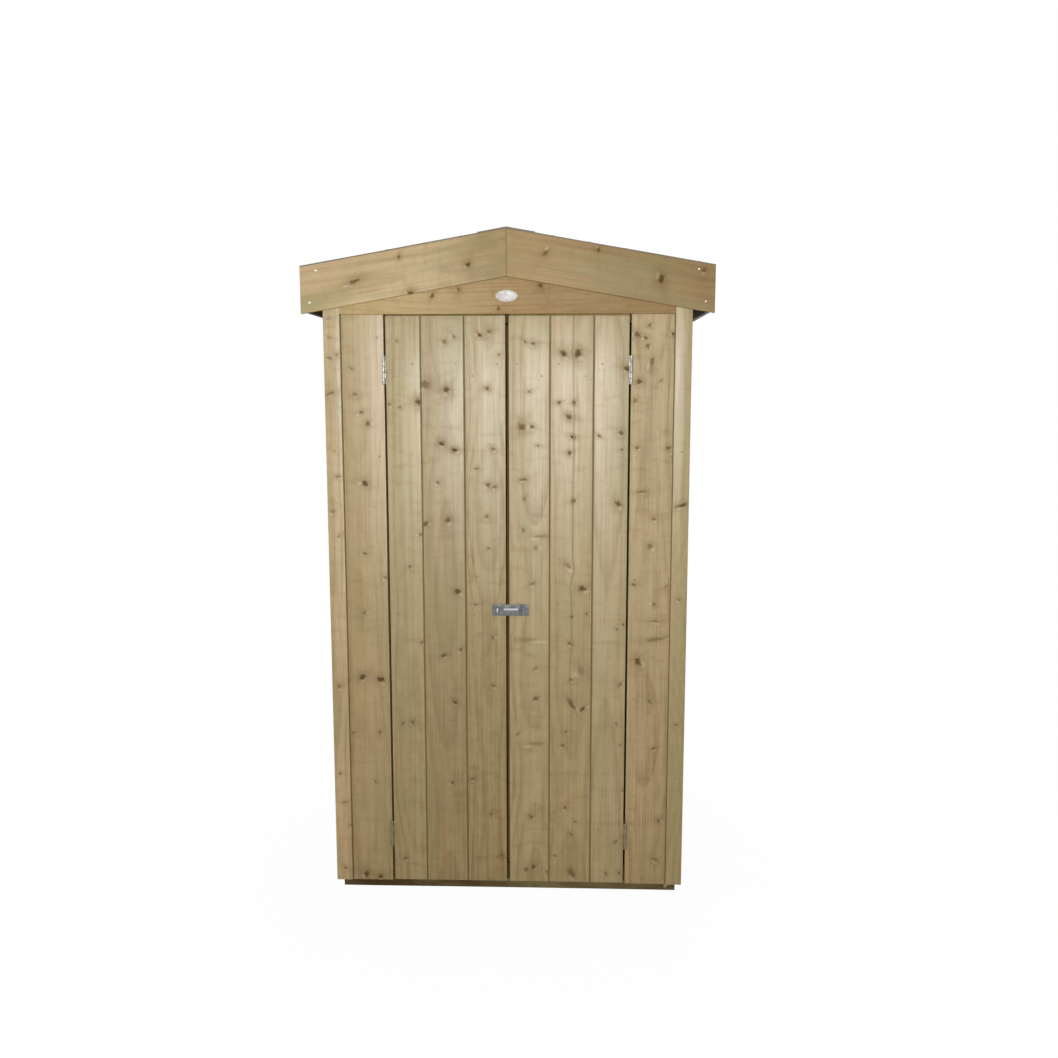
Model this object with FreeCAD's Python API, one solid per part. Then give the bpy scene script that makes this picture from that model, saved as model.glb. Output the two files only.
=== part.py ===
import FreeCAD, Part
import math
import os

# Tall garden storage cabinet in pressure-treated softwood, with an apex roof under felt
# and two ledged doors of upright boards. Millimetres, +Z up, front towards -Y.
# The origin is under the middle of the cabinet, on the ground.

# Driving sizes of the whole cabinet
overall_width = 1080.0
overall_depth = 550.0
overall_height = 1820.0

# Timber sections
board_thickness = 12.0
board_cover = 115.0
batten_thick = 28.0
batten_wide = 34.0
ledge_thick = 20.0
ledge_high = 70.0
strip_wide = 43.7

# Joints between boards
joint_half_gap = 0.3
joint_chamfer = 1.6
tongue_long = 5.0
tongue_half = 2.0
tongue_play = 0.2

# Roof
bargeboard_deep = 120.0
roof_fall = 95.0
felt_thick = 3.0
cap_thick = 2.0
cap_half_wide = 75.0
felt_turn_down = 30.0
fascia_foot = 1606.0
ridge_beam_deep = 34.0

# Nails and screws
nail_radius = 1.2
nail_head_radius = 2.6
nail_head_deep = 1.0
board_nail_long = 34.0
strip_nail_long = 44.0
barge_nail_long = 26.0
eave_nail_long = 10.0
door_nail_long = 27.0
screw_radius = 1.4
screw_head_radius = 2.8
leaf_screw_long = 16.0
hasp_screw_long = 14.0

# Heights on the front
bearer_high = 28.0
board_foot = 24.0
door_foot = 26.0
door_head = 1596.0
gable_foot = 1600.0
stop_rail_foot = 1578.0
middle_rail_foot = 880.0
ledge_heights = (167.0, 811.0, 1455.0)
board_nail_heights = (58.0, 220.0, 560.0, 894.0, 1226.0, 1540.0, 1660.0)
strip_nail_heights = (50.0, 340.0, 790.0, 1240.0, 1690.0)
header_nail_height = 1606.0
meeting_strip_foot = 78.0
meeting_strip_head = 1574.0

# Places across the front, measured from the middle
meeting_gap_half = 4.5
door_edge = 322.0
jamb_edge = 327.5
door_joints = (114.1, 229.6)
fixed_joint = 442.5
wall_half = 473.0
board_nail_places = (344.0, 436.0)
strip_nail_place = 463.0
header_nail_places = (-300.0, -100.0, 100.0, 300.0)
barge_nail_places = ((497.0, 1711.0), (516.0, 1629.0))
right_ledge_start = 24.0
left_ledge_start = 12.0
meeting_strip_start = -2.0

# Butt hinges
hinge_long = 75.0
hinge_heights = (164.0, 1455.0)
hinge_forward = 4.5
knuckle_radius = 4.0
knuckle_gap = 0.3
leaf_thick = 1.4
leaf_deep = 30.0
leaf_proud = 0.2
leaf_screw_pitch = 26.0
leaf_screw_inset = 21.0
bridge_deep = 2.0
bridge_reach = 1.6
pin_head_radius = 2.6
pin_head_high = 1.2
pin_radius = 1.5
pin_play = 0.05

# Hasp and staple
hasp_height = 808.0
hasp_high = 31.0
hasp_tip = -42.5
hasp_axis_x = 36.0
hasp_axis_forward = 3.5
hasp_knuckle_radius = 2.5
hasp_pin_radius = 1.2
hasp_leaf_end = 57.6
hasp_plate_thick = 1.5
hasp_play = 0.15
hasp_corner = 6.0
hasp_screw_insets = (14.0, 5.0)
hasp_screw_rise = 10.0
rib_start = -12.0
rib_end = 31.0
rib_rise = 2.0
rib_radius = 4.0
staple_x = -27.0
staple_plate_half = 15.0
staple_plate_high = 28.0
staple_screw_side = 11.0
staple_screw_rise = 9.0
staple_wire = 4.0
staple_high = 18.0
staple_proud = 16.0
staple_corner = 7.0
slot_play = 1.4

# Plate
plate_height = 1646.0
plate_half_wide = 29.0
plate_half_high = 15.0
plate_thick = 1.6
plate_rim = 2.5
plate_dish = 0.5

# Levels worked out from the driving sizes, front half; the back mirrors it
roof_half = overall_width / 2
front_face = -overall_depth / 2
barge_back = front_face + board_thickness
face_y = barge_back + board_thickness
board_back = face_y + board_thickness
frame_back = board_back + batten_thick
ledge_back = board_back + ledge_thick
wall_inner = wall_half - board_thickness
strip_outer = wall_half + board_thickness
strip_inner = strip_outer - strip_wide
floor_top = bearer_high + board_thickness
apex = overall_height - felt_thick - cap_thick
slope = roof_fall / roof_half
roof_angle = math.atan(slope)
deck_drop = board_thickness / math.cos(roof_angle)
fascia_outer = roof_half - felt_thick
rail_high = batten_wide

os.makedirs("parts", exist_ok=True)
V = FreeCAD.Vector


def save(name, solids):
    """Write one sub-part: a solid, or a group of like solids."""
    group = solids if isinstance(solids, list) else [solids]
    clean = []
    for solid in group:
        clean.extend(solid.Solids)
    shape = clean[0] if len(clean) == 1 else Part.makeCompound(clean)
    if not shape.isValid():
        raise ValueError(name + " is not a valid shape")
    shape.exportStep("parts/" + name + ".step")
    print(name, len(clean), "solids", round(shape.Volume / 1000.0, 1), "cm3")


def block(x0, x1, y0, y1, z0, z1):
    """Square-cut timber between two corners."""
    return Part.makeBox(x1 - x0, y1 - y0, z1 - z0, V(x0, y0, z0))


def prism(points, direction):
    """Straight solid from a closed outline of vectors."""
    face = Part.Face(Part.makePolygon(points + [points[0]]))
    return face.extrude(direction)


def cylinder(radius, length, start, direction):
    return Part.makeCylinder(radius, length, start, direction)


def mirror_x(solid):
    return solid.mirror(V(0, 0, 0), V(1, 0, 0))


def mirror_y(solid):
    return solid.mirror(V(0, 0, 0), V(0, 1, 0))


def roof_line(x):
    """Height of the top of the roof boards at a distance from the ridge."""
    return apex - abs(x) * slope


def under_roof(x):
    return roof_line(x) - deck_drop


def trim_to_roof(solid):
    """Cut a post or board off under the slope of the roof boards."""
    reach = roof_half + 20
    top = overall_height + 100
    outline = [
        V(-reach, front_face - 20, under_roof(reach)),
        V(0, front_face - 20, under_roof(0)),
        V(reach, front_face - 20, under_roof(reach)),
        V(reach, front_face - 20, top),
        V(-reach, front_face - 20, top),
    ]
    return solid.cut(prism(outline, V(0, overall_depth + 40, 0)))


def drill(solid, holes):
    """Take a list of round holes out of a solid."""
    for hole in holes:
        if solid.BoundBox.intersect(hole.BoundBox):
            solid = solid.cut(hole)
    return solid


def matchboard_outline(x0, x1, groove, tongue, chamfered):
    """Cross section of one tongued and grooved board, face at v = 0, as (u, v) pairs."""
    left = x0 + (joint_half_gap if groove else 0)
    right = x1 - (joint_half_gap if tongue else 0)
    cut_left = joint_chamfer if groove and chamfered else 0
    cut_right = joint_chamfer if tongue and chamfered else 0
    middle = board_thickness / 2
    points = [(left + cut_left, 0), (right - cut_right, 0)]
    if cut_right:
        points.append((right, cut_right))
    if tongue:
        tip = right + tongue_long
        points += [(right, middle - tongue_half), (tip, middle - tongue_half)]
        points += [(tip, middle + tongue_half), (right, middle + tongue_half)]
    points += [(right, board_thickness), (left, board_thickness)]
    if groove:
        root = left + tongue_long + tongue_play
        wide = tongue_half + tongue_play
        points += [(left, middle + wide), (root, middle + wide)]
        points += [(root, middle - wide), (left, middle - wide)]
    if cut_left:
        points.append((left, cut_left))
    return points


def front_board(x0, x1, groove, tongue, z0, z1):
    """Upright board of the front, its face looking towards -Y."""
    outline = matchboard_outline(x0, x1, groove, tongue, True)
    return prism([V(u, face_y + v, z0) for u, v in outline], V(0, 0, z1 - z0))


def side_board(y0, y1, groove, tongue, z0, z1):
    """Upright board of the right-hand wall, its face looking towards +X."""
    outline = matchboard_outline(y0, y1, groove, tongue, True)
    return prism([V(wall_half - v, u, z0) for u, v in outline], V(0, 0, z1 - z0))


def board_run(start, end, middle_boards):
    """Edges of a centred run of boards, with narrower ones at both ends."""
    first = -board_cover * middle_boards / 2
    edges = [start]
    for index in range(middle_boards + 1):
        edges.append(first + index * board_cover)
    edges.append(end)
    return edges


def nail(x, y, z, direction, long):
    """Round wire nail with a flat head let in flush with the face at the start point."""
    start = V(x, y, z)
    head = cylinder(nail_head_radius, nail_head_deep, start, direction)
    shank = cylinder(nail_radius, long, start, direction)
    return head.fuse(shank).removeSplitter()


def screw(x, y, z, direction, long, head_deep):
    """Wood screw with its flat head let into a steel leaf."""
    start = V(x, y, z)
    head = cylinder(screw_head_radius, head_deep, start, direction)
    shank = cylinder(screw_radius, long, start, direction)
    return head.fuse(shank).removeSplitter()


into_front = V(0, 1, 0)
into_back = V(0, -1, 0)

# Base: three bearers on the ground and the floor boards on top of them
bearer_inset = 3.0
base_half = wall_half - bearer_inset
for name, centre_y in (
    ("front_bearer", board_back + batten_wide / 2),
    ("middle_bearer", 0),
    ("rear_bearer", -board_back - batten_wide / 2),
):
    y0 = centre_y - batten_wide / 2
    save(name, block(-base_half, base_half, y0, y0 + batten_wide, 0, bearer_high))

floor_boards = []
floor_count = 8
floor_cover = 2 * wall_inner / floor_count
for index in range(floor_count):
    x0 = -wall_inner + index * floor_cover
    outline = matchboard_outline(x0, x0 + floor_cover, index > 0, index < floor_count - 1, False)
    points = [V(u, board_back, floor_top - v) for u, v in outline]
    floor_boards.append(prism(points, V(0, -2 * board_back, 0)))
save("floor_boards", floor_boards)


# Nails and screws that stay with the fixed cabinet, with the same shapes taken out as holes
frame_fixings = []
for side in (-1, 1):
    for y, direction in ((front_face, into_front), (-front_face, into_back)):
        for place, long in zip(barge_nail_places, (barge_nail_long, eave_nail_long)):
            frame_fixings.append(nail(side * place[0], y, place[1], direction, long))
    for z in board_nail_heights:
        for x in board_nail_places:
            frame_fixings.append(nail(side * x, face_y, z, into_front, board_nail_long))
    for z in strip_nail_heights:
        frame_fixings.append(nail(side * strip_nail_place, barge_back, z, into_front, strip_nail_long))
for x in header_nail_places:
    frame_fixings.append(nail(x, face_y, header_nail_height, into_front, board_nail_long))

# Hinges: pin line, leaves and knuckles of one hinge on the right-hand side
hinge_x = jamb_edge
hinge_y = face_y - hinge_forward
hinge_steps = 5
step_long = hinge_long / hinge_steps


def hinge_knuckles(centre, first):
    """Every second knuckle of the hinge, counted from the bottom, not yet bored."""
    rings = []
    for index in range(first, hinge_steps, 2):
        z0 = centre - hinge_long / 2 + index * step_long
        low = z0 + (knuckle_gap / 2 if index > 0 else 0)
        high = z0 + step_long - (knuckle_gap / 2 if index < hinge_steps - 1 else 0)
        rings.append((low, high))
    return rings


def leaf_screw_heights(centre):
    return (centre - leaf_screw_pitch, centre, centre + leaf_screw_pitch)


def pin_bore(bottom):
    """Hole for the hinge pin, longer than the hinge at both ends."""
    spare = 2.0
    return cylinder(
        pin_radius + pin_play, hinge_long + 2 * spare, V(hinge_x, hinge_y, bottom - spare), V(0, 0, 1)
    )


screw_y = face_y + leaf_screw_inset
leaf_front = face_y - leaf_proud


def frame_leaf(centre):
    """Leaf on the edge of the fixed board and the jamb post."""
    bottom = centre - hinge_long / 2
    x0 = jamb_edge - leaf_thick
    leaf = block(x0, jamb_edge, leaf_front, face_y + leaf_deep, bottom, bottom + hinge_long)
    for low, high in hinge_knuckles(centre, 0):
        ring = cylinder(knuckle_radius, high - low, V(hinge_x, hinge_y, low), V(0, 0, 1))
        bridge = block(x0, jamb_edge, leaf_front - bridge_deep, leaf_front, low, high)
        leaf = leaf.fuse(ring).fuse(bridge)
    leaf = leaf.cut(pin_bore(bottom))
    for z in leaf_screw_heights(centre):
        leaf = leaf.cut(cylinder(screw_head_radius, leaf_thick, V(x0, screw_y, z), V(1, 0, 0)))
    return leaf.removeSplitter()


def door_leaf(centre):
    """Leaf on the edge of the door, with the two knuckles between those of the other leaf."""
    bottom = centre - hinge_long / 2
    x1 = door_edge + leaf_thick
    bridge_front = hinge_y - bridge_reach
    leaf = block(door_edge, x1, leaf_front, face_y + leaf_deep, bottom, bottom + hinge_long)
    for low, high in hinge_knuckles(centre, 1):
        ring = cylinder(knuckle_radius, high - low, V(hinge_x, hinge_y, low), V(0, 0, 1))
        upright = block(door_edge, x1, bridge_front, leaf_front, low, high)
        bridge = block(door_edge, hinge_x - pin_radius - 1, bridge_front, bridge_front + leaf_thick, low, high)
        leaf = leaf.fuse(ring).fuse(upright).fuse(bridge)
    leaf = leaf.cut(pin_bore(bottom))
    for z in leaf_screw_heights(centre):
        leaf = leaf.cut(cylinder(screw_head_radius, leaf_thick, V(door_edge, screw_y, z), V(1, 0, 0)))
    return leaf.removeSplitter()


def hinge_pin(centre):
    bottom = centre - hinge_long / 2
    shaft = cylinder(pin_radius, hinge_long, V(hinge_x, hinge_y, bottom), V(0, 0, 1))
    head = cylinder(pin_head_radius, pin_head_high, V(hinge_x, hinge_y, bottom + hinge_long), V(0, 0, 1))
    return shaft.fuse(head).removeSplitter()


pins = []
leaves = {"frame": [], "door": []}
door_fixings = {"left": [], "right": []}
for centre in hinge_heights:
    leaves["frame"].append(frame_leaf(centre))
    leaves["door"].append(door_leaf(centre))
    pins += [hinge_pin(centre), mirror_x(hinge_pin(centre))]
    for z in leaf_screw_heights(centre):
        post_screw = screw(jamb_edge - leaf_thick, screw_y, z, V(1, 0, 0), leaf_screw_long, leaf_thick)
        edge_screw = screw(door_edge + leaf_thick, screw_y, z, V(-1, 0, 0), leaf_screw_long, leaf_thick)
        frame_fixings += [post_screw, mirror_x(post_screw)]
        door_fixings["right"].append(edge_screw)
        door_fixings["left"].append(mirror_x(edge_screw))
for owner, pair in leaves.items():
    save("right_hinge_" + owner + "_leaves", pair)
    save("left_hinge_" + owner + "_leaves", [mirror_x(one) for one in pair])
save("hinge_pins", pins)

# Fixed boards beside the doors, and the header over the doors behind the gable board
head_room = overall_height + 50
fixed_board = front_board(jamb_edge, fixed_joint, False, True, board_foot, head_room)
edge_board = front_board(fixed_joint, wall_half, True, False, board_foot, head_room)
right_fixed = [drill(trim_to_roof(one), frame_fixings) for one in (fixed_board, edge_board)]
save("right_front_boards", right_fixed)
left_fixed = [trim_to_roof(mirror_x(one)) for one in (fixed_board, edge_board)]
save("left_front_boards", [drill(one, frame_fixings) for one in left_fixed])
header = block(-jamb_edge, jamb_edge, face_y, board_back, gable_foot, head_room)
save("front_header_board", drill(trim_to_roof(header), frame_fixings))

# Gable boards across the front and the back, between the corner strips
gable = trim_to_roof(block(-strip_inner, strip_inner, barge_back, face_y, gable_foot, head_room))
save("front_gable_board", gable)
save("rear_gable_board", mirror_y(gable))

# Bare oval plate on the front gable board, with a raised rim
plate_front = barge_back - plate_thick


def oval(inset, deep):
    """Flat oval from the plate's front backwards, smaller than the plate by an inset."""
    centre = V(0, plate_front, plate_height)
    curve = Part.Ellipse(centre, plate_half_wide - inset, plate_half_high - inset)
    curve.Axis = V(0, -1, 0)
    curve.XAxis = V(1, 0, 0)
    return Part.Face(Part.Wire(curve.toShape())).extrude(V(0, deep, 0))


save("oval_plate", oval(0, plate_thick).cut(oval(plate_rim, plate_dish)))

# Corner strips: one on the front or back and one on the side, at each corner
facing = trim_to_roof(block(strip_inner, strip_outer, barge_back, face_y, bearer_high, head_room))
flank = trim_to_roof(
    block(wall_half, strip_outer, face_y, face_y + strip_wide, bearer_high, head_room)
)
corner = [drill(facing, frame_fixings), flank]
save("right_front_corner_strips", corner)
save("left_front_corner_strips", [mirror_x(one) for one in corner])
save("right_rear_corner_strips", [mirror_y(one) for one in (facing, flank)])
save("left_rear_corner_strips", [mirror_x(mirror_y(one)) for one in (facing, flank)])

# Posts of the frames: corner post, jamb post and the side wall's own post
corner_post = block(wall_inner - batten_wide, wall_inner, board_back, frame_back, floor_top, head_room)
jamb_post = block(jamb_edge, jamb_edge + batten_wide, board_back, frame_back, floor_top, head_room)
side_post = block(
    wall_inner - batten_thick, wall_inner, frame_back, frame_back + batten_wide, floor_top, head_room
)
front_posts = [trim_to_roof(one) for one in (corner_post, jamb_post, side_post)]
rear_posts = [mirror_y(front_posts[0]), mirror_y(front_posts[2])]
save("right_front_posts", [drill(one, frame_fixings) for one in front_posts])
left_posts = [mirror_x(one) for one in front_posts]
save("left_front_posts", [drill(one, frame_fixings) for one in left_posts])
save("right_rear_posts", rear_posts)
save("left_rear_posts", [mirror_x(one) for one in rear_posts])

# Rails of the frames
front_top_rail = block(
    -jamb_edge, jamb_edge, board_back, frame_back, stop_rail_foot, stop_rail_foot + rail_high
)
save("front_top_rail", drill(front_top_rail, frame_fixings))
front_bottom_rail = block(
    -jamb_edge, jamb_edge, board_back, frame_back, floor_top, floor_top + rail_high
)
save("front_bottom_rail", front_bottom_rail)

side_rail_inner = wall_inner - batten_thick
side_rail_end = frame_back + batten_wide
rear_rail_half = wall_inner - batten_wide
side_rail_top = under_roof(wall_inner)
side_rails = []
rear_rails = []
for foot in (floor_top, middle_rail_foot, side_rail_top - rail_high):
    high = foot + rail_high
    side_rails.append(block(side_rail_inner, wall_inner, side_rail_end, -side_rail_end, foot, high))
    rear_rails.append(block(-rear_rail_half, rear_rail_half, -frame_back, -board_back, foot, high))
save("right_wall_rails", side_rails)
save("left_wall_rails", [mirror_x(one) for one in side_rails])
save("rear_wall_rails", rear_rails)

# Boarding of the sides and the back
side_edges = board_run(board_back, -board_back, 3)
right_boards = []
for index in range(len(side_edges) - 1):
    grooved = index > 0
    tongued = index < len(side_edges) - 2
    one = side_board(side_edges[index], side_edges[index + 1], grooved, tongued, bearer_high, head_room)
    right_boards.append(trim_to_roof(one))
save("right_wall_boards", [drill(one, frame_fixings) for one in right_boards])
save("left_wall_boards", [drill(mirror_x(one), frame_fixings) for one in right_boards])

rear_edges = board_run(-wall_half, wall_half, 7)
rear_boards = []
for index in range(len(rear_edges) - 1):
    grooved = index > 0
    tongued = index < len(rear_edges) - 2
    one = front_board(rear_edges[index], rear_edges[index + 1], grooved, tongued, board_foot, head_room)
    rear_boards.append(mirror_y(trim_to_roof(one)))
save("rear_wall_boards", rear_boards)

# Roof boards, running from front to back on each slope, cut plumb at the ridge
deck_edges = [0]
slope_long = fascia_outer / math.cos(roof_angle)
for index in range(1, 5):
    deck_edges.append(index * board_cover)
deck_edges.append(slope_long)
along = V(math.cos(roof_angle), 0, -math.sin(roof_angle))
inward = V(-math.sin(roof_angle), 0, -math.cos(roof_angle))
ridge_cut = block(-50, 0.05, front_face, -front_face, apex - 100, apex + 50)
eave_cut = block(fascia_outer, fascia_outer + 50, front_face, -front_face, apex - 200, apex)
right_deck = []
for index in range(len(deck_edges) - 1):
    outline = matchboard_outline(deck_edges[index], deck_edges[index + 1], index > 0, index < 4, False)
    points = []
    for u, v in outline:
        points.append(V(0, barge_back, apex) + along * u + inward * v)
    one = prism(points, V(0, -2 * barge_back, 0))
    right_deck.append(one.cut(ridge_cut).cut(eave_cut))
save("right_roof_boards", right_deck)
save("left_roof_boards", [mirror_x(one) for one in right_deck])

ridge_beam = block(
    -batten_thick / 2, batten_thick / 2, board_back, -board_back,
    under_roof(batten_thick / 2) - ridge_beam_deep, head_room
)
save("ridge_beam", trim_to_roof(ridge_beam))

# Eave fascias hanging under the edge of the roof boards
eave = block(
    fascia_outer - board_thickness, fascia_outer, barge_back, -barge_back, fascia_foot, head_room
)
eave = trim_to_roof(eave)
save("right_eave_fascia", drill(eave, frame_fixings))
save("left_eave_fascia", drill(mirror_x(eave), frame_fixings))

# Bargeboards: plumb at the ridge and at the eaves
barge_start = 0.1
barge = prism(
    [
        V(barge_start, front_face, roof_line(barge_start)),
        V(roof_half, front_face, roof_line(roof_half)),
        V(roof_half, front_face, roof_line(roof_half) - bargeboard_deep),
        V(barge_start, front_face, roof_line(barge_start) - bargeboard_deep),
    ],
    V(0, board_thickness, 0),
)
for end, towards_end in (("front", lambda one: one), ("rear", mirror_y)):
    for side, towards_side in (("right", lambda one: one), ("left", mirror_x)):
        piece = towards_side(towards_end(barge))
        save(side + "_" + end + "_bargeboard", drill(piece, frame_fixings))

# Roofing felt over both slopes, turned down over the eaves, and a cap strip on the ridge


def chevron(half, foot, thick, y0, y1):
    """Sheet of even upright thickness bent over the ridge."""
    drop = half * slope
    outline = [
        V(-half, y0, foot - drop),
        V(0, y0, foot),
        V(half, y0, foot - drop),
        V(half, y0, foot - drop + thick),
        V(0, y0, foot + thick),
        V(-half, y0, foot - drop + thick),
    ]
    return prism(outline, V(0, y1 - y0, 0))


felt = chevron(roof_half, apex, felt_thick, front_face, -front_face)
eave_line = roof_line(roof_half)
flap = block(
    fascia_outer, roof_half, barge_back, -barge_back, eave_line - felt_turn_down, eave_line + 2
)
flap = flap.cut(chevron(roof_half + 20, apex, 100, front_face, -front_face))
felt = felt.fuse(flap).fuse(mirror_x(flap)).removeSplitter()
save("roof_felt", felt)
save("ridge_cap", chevron(cap_half_wide, apex + felt_thick, cap_thick, front_face, -front_face))

# Doors: three boards each, held by three ledges, the wide edge board ripped on the hinge side
door_nails = []
door_nail_inset = 22.0
door_nail_rise = 16.0
door_edges = (meeting_gap_half, door_joints[0], door_joints[1], door_edge)
for height in ledge_heights:
    for start, end in zip(door_edges, door_edges[1:]):
        for x, z in (
            (start + door_nail_inset, height + door_nail_rise),
            (end - door_nail_inset, height - door_nail_rise),
        ):
            door_nails.append(nail(x, face_y, z, into_front, door_nail_long))
door_fixings["right"] += door_nails
door_fixings["left"] += [mirror_x(one) for one in door_nails]

# Hasp: a leaf screwed to the right door, and a strap on a pin that closes over the staple
hasp_y = face_y - hasp_axis_forward
hasp_foot = hasp_height - hasp_high / 2
hasp_steps = 3
hasp_step = hasp_high / hasp_steps
hasp_root = hasp_knuckle_radius + 0.5
plate_face = face_y - hasp_plate_thick
strap_back = plate_face - 0.1
strap_front = strap_back - hasp_plate_thick
hasp_screws = []
for inset in hasp_screw_insets:
    for rise in (-hasp_screw_rise, hasp_screw_rise):
        x = hasp_leaf_end - inset
        z = hasp_height + rise
        hasp_screws.append(screw(x, plate_face, z, into_front, hasp_screw_long, hasp_plate_thick))
staple_screws = []
for aside in (-staple_screw_side, staple_screw_side):
    for rise in (-staple_screw_rise, staple_screw_rise):
        x = staple_x + aside
        z = hasp_height + rise
        staple_screws.append(screw(x, plate_face, z, into_front, hasp_screw_long, hasp_plate_thick))
door_fixings["right"] += hasp_screws
door_fixings["left"] += staple_screws


def hasp_ring(index):
    """One of the three knuckles, with the heights of its ends."""
    z0 = hasp_foot + index * hasp_step + (hasp_play if index > 0 else 0)
    z1 = hasp_foot + (index + 1) * hasp_step - (hasp_play if index < 2 else 0)
    return cylinder(hasp_knuckle_radius, z1 - z0, V(hasp_axis_x, hasp_y, z0), V(0, 0, 1)), z0, z1


hasp_bore = cylinder(
    hasp_pin_radius + pin_play, hasp_high + 4, V(hasp_axis_x, hasp_y, hasp_foot - 2), V(0, 0, 1)
)
leaf = block(
    hasp_axis_x + hasp_root, hasp_leaf_end, plate_face, face_y, hasp_foot, hasp_foot + hasp_high
)
for index in (0, 2):
    ring, z0, z1 = hasp_ring(index)
    tab = block(hasp_axis_x, hasp_axis_x + hasp_root, plate_face, face_y, z0, z1)
    leaf = leaf.fuse(tab).fuse(ring)
leaf = drill(leaf.cut(hasp_bore), hasp_screws).removeSplitter()
save("hasp_leaf", leaf)

strap_root = hasp_axis_x - hasp_root
strap = block(hasp_tip, strap_root, strap_front, strap_back, hasp_foot, hasp_foot + hasp_high)
tip_edges = []
for edge in strap.Edges:
    box = edge.BoundBox
    if box.XMax < hasp_tip + 0.1 and box.ZLength < 0.1:
        tip_edges.append(edge)
strap = strap.makeFillet(hasp_corner, tip_edges)
ring, z0, z1 = hasp_ring(1)
strap = strap.fuse(block(strap_root, hasp_axis_x, strap_front, strap_back, z0, z1)).fuse(ring)
rib_z = hasp_height + rib_rise
rib = cylinder(rib_radius, rib_end - rib_start, V(rib_start, strap_back, rib_z), V(1, 0, 0))
for x in (rib_start, rib_end):
    rib = rib.fuse(Part.makeSphere(rib_radius, V(x, strap_back, rib_z)))
rib_room = 1.5 * rib_radius
rib_box = block(
    rib_start - rib_room, strap_root, strap_back - rib_room, strap_back,
    rib_z - rib_room, rib_z + rib_room
)
rib = rib.common(rib_box)
strap = strap.fuse(rib).cut(hasp_bore)
slot_half = staple_high / 2 + slot_play
slot_start = staple_x - 8.6
slot_end = staple_x + 2.6
slot = block(
    slot_start, slot_end, strap_back - rib_room, face_y, hasp_height - slot_half, hasp_height + slot_half
)
save("hasp_strap", strap.cut(slot).removeSplitter())

pin = cylinder(hasp_pin_radius, hasp_high, V(hasp_axis_x, hasp_y, hasp_foot), V(0, 0, 1))
save("hasp_pin", pin)

# Staple: a plate on the left door with a loop of flat steel standing out through the slot
staple = block(
    staple_x - staple_plate_half, staple_x + staple_plate_half, plate_face, face_y,
    hasp_height - staple_plate_high / 2, hasp_height + staple_plate_high / 2
)
staple = drill(staple, staple_screws)
loop_front = face_y - staple_proud
loop = block(
    staple_x - staple_wire / 2, staple_x + staple_wire / 2, loop_front, face_y - 0.5,
    hasp_height - staple_high / 2, hasp_height + staple_high / 2
)
loop_edges = []
for edge in loop.Edges:
    box = edge.BoundBox
    if box.YMax < loop_front + 0.1 and box.ZLength < 0.1:
        loop_edges.append(edge)
loop = loop.makeFillet(staple_corner, loop_edges)
eye_radius = staple_high / 2 - staple_wire
eye_y = loop_front + staple_wire + eye_radius
eye = cylinder(eye_radius, 2 * staple_wire, V(staple_x - staple_wire, eye_y, hasp_height), V(1, 0, 0))
eye = eye.fuse(
    block(
        staple_x - staple_wire, staple_x + staple_wire, eye_y, plate_face,
        hasp_height - eye_radius, hasp_height + eye_radius
    )
)
save("staple", staple.fuse(loop.cut(eye)).removeSplitter())

# Door boards, drilled for their nails and screws
for side, turn in (("right", lambda one: one), ("left", mirror_x)):
    holes = door_fixings[side]
    for index, place in enumerate(("inner", "middle", "hinge")):
        one = front_board(
            door_edges[index], door_edges[index + 1], index > 0, index < 2, door_foot, door_head
        )
        save(side + "_door_" + place + "_board", drill(turn(one), holes))
    ledges = []
    start = right_ledge_start if side == "right" else left_ledge_start
    for height in ledge_heights:
        bar = block(
            start, door_edge, board_back, ledge_back, height - ledge_high / 2, height + ledge_high / 2
        )
        ledges.append(drill(turn(bar), holes))
    save(side + "_door_ledges", ledges)
    save(side + "_door_fixings", holes)

# Meeting strip behind the edge of the right door, closing most of the gap
meeting_strip = block(
    meeting_strip_start, right_ledge_start, board_back, ledge_back, meeting_strip_foot, meeting_strip_head
)
save("meeting_strip", meeting_strip)

save("frame_fixings", frame_fixings)
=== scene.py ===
import bpy
import bmesh
import math
import random
from mathutils import Matrix, Vector


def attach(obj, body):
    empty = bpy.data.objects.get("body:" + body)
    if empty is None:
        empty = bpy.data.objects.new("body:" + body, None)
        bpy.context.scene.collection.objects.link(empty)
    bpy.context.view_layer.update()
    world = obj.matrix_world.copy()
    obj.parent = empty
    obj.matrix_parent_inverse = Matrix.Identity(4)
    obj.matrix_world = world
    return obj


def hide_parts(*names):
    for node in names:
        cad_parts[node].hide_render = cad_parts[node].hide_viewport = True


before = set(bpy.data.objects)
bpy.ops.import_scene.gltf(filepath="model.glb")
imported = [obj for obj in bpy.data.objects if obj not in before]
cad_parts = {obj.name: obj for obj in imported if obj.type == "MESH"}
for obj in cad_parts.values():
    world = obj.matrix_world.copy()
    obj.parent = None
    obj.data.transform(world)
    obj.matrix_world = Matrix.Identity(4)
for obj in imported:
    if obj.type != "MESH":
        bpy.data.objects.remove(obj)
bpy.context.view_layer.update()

# Viewpoint and light. The cabinet is seen from a little above its doors' middle and slightly
# from the right, in front of a white sweep, with one large soft lamp high in front
# and weaker ones at the sides and behind.
scene = bpy.context.scene
scene.view_settings.view_transform = "Standard"

image_side = 1058
focal_pixels = 1008.0
camera_data = bpy.data.cameras.new("camera")
camera_data.sensor_width = 36.0
camera_data.lens = focal_pixels / image_side * camera_data.sensor_width
camera = bpy.data.objects.new("camera", camera_data)
camera.location = (0.149, -2.946, 1.388)
camera.rotation_euler = (math.radians(90 - 7.54), 0, math.radians(1.93))
scene.collection.objects.link(camera)
scene.camera = camera


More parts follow.
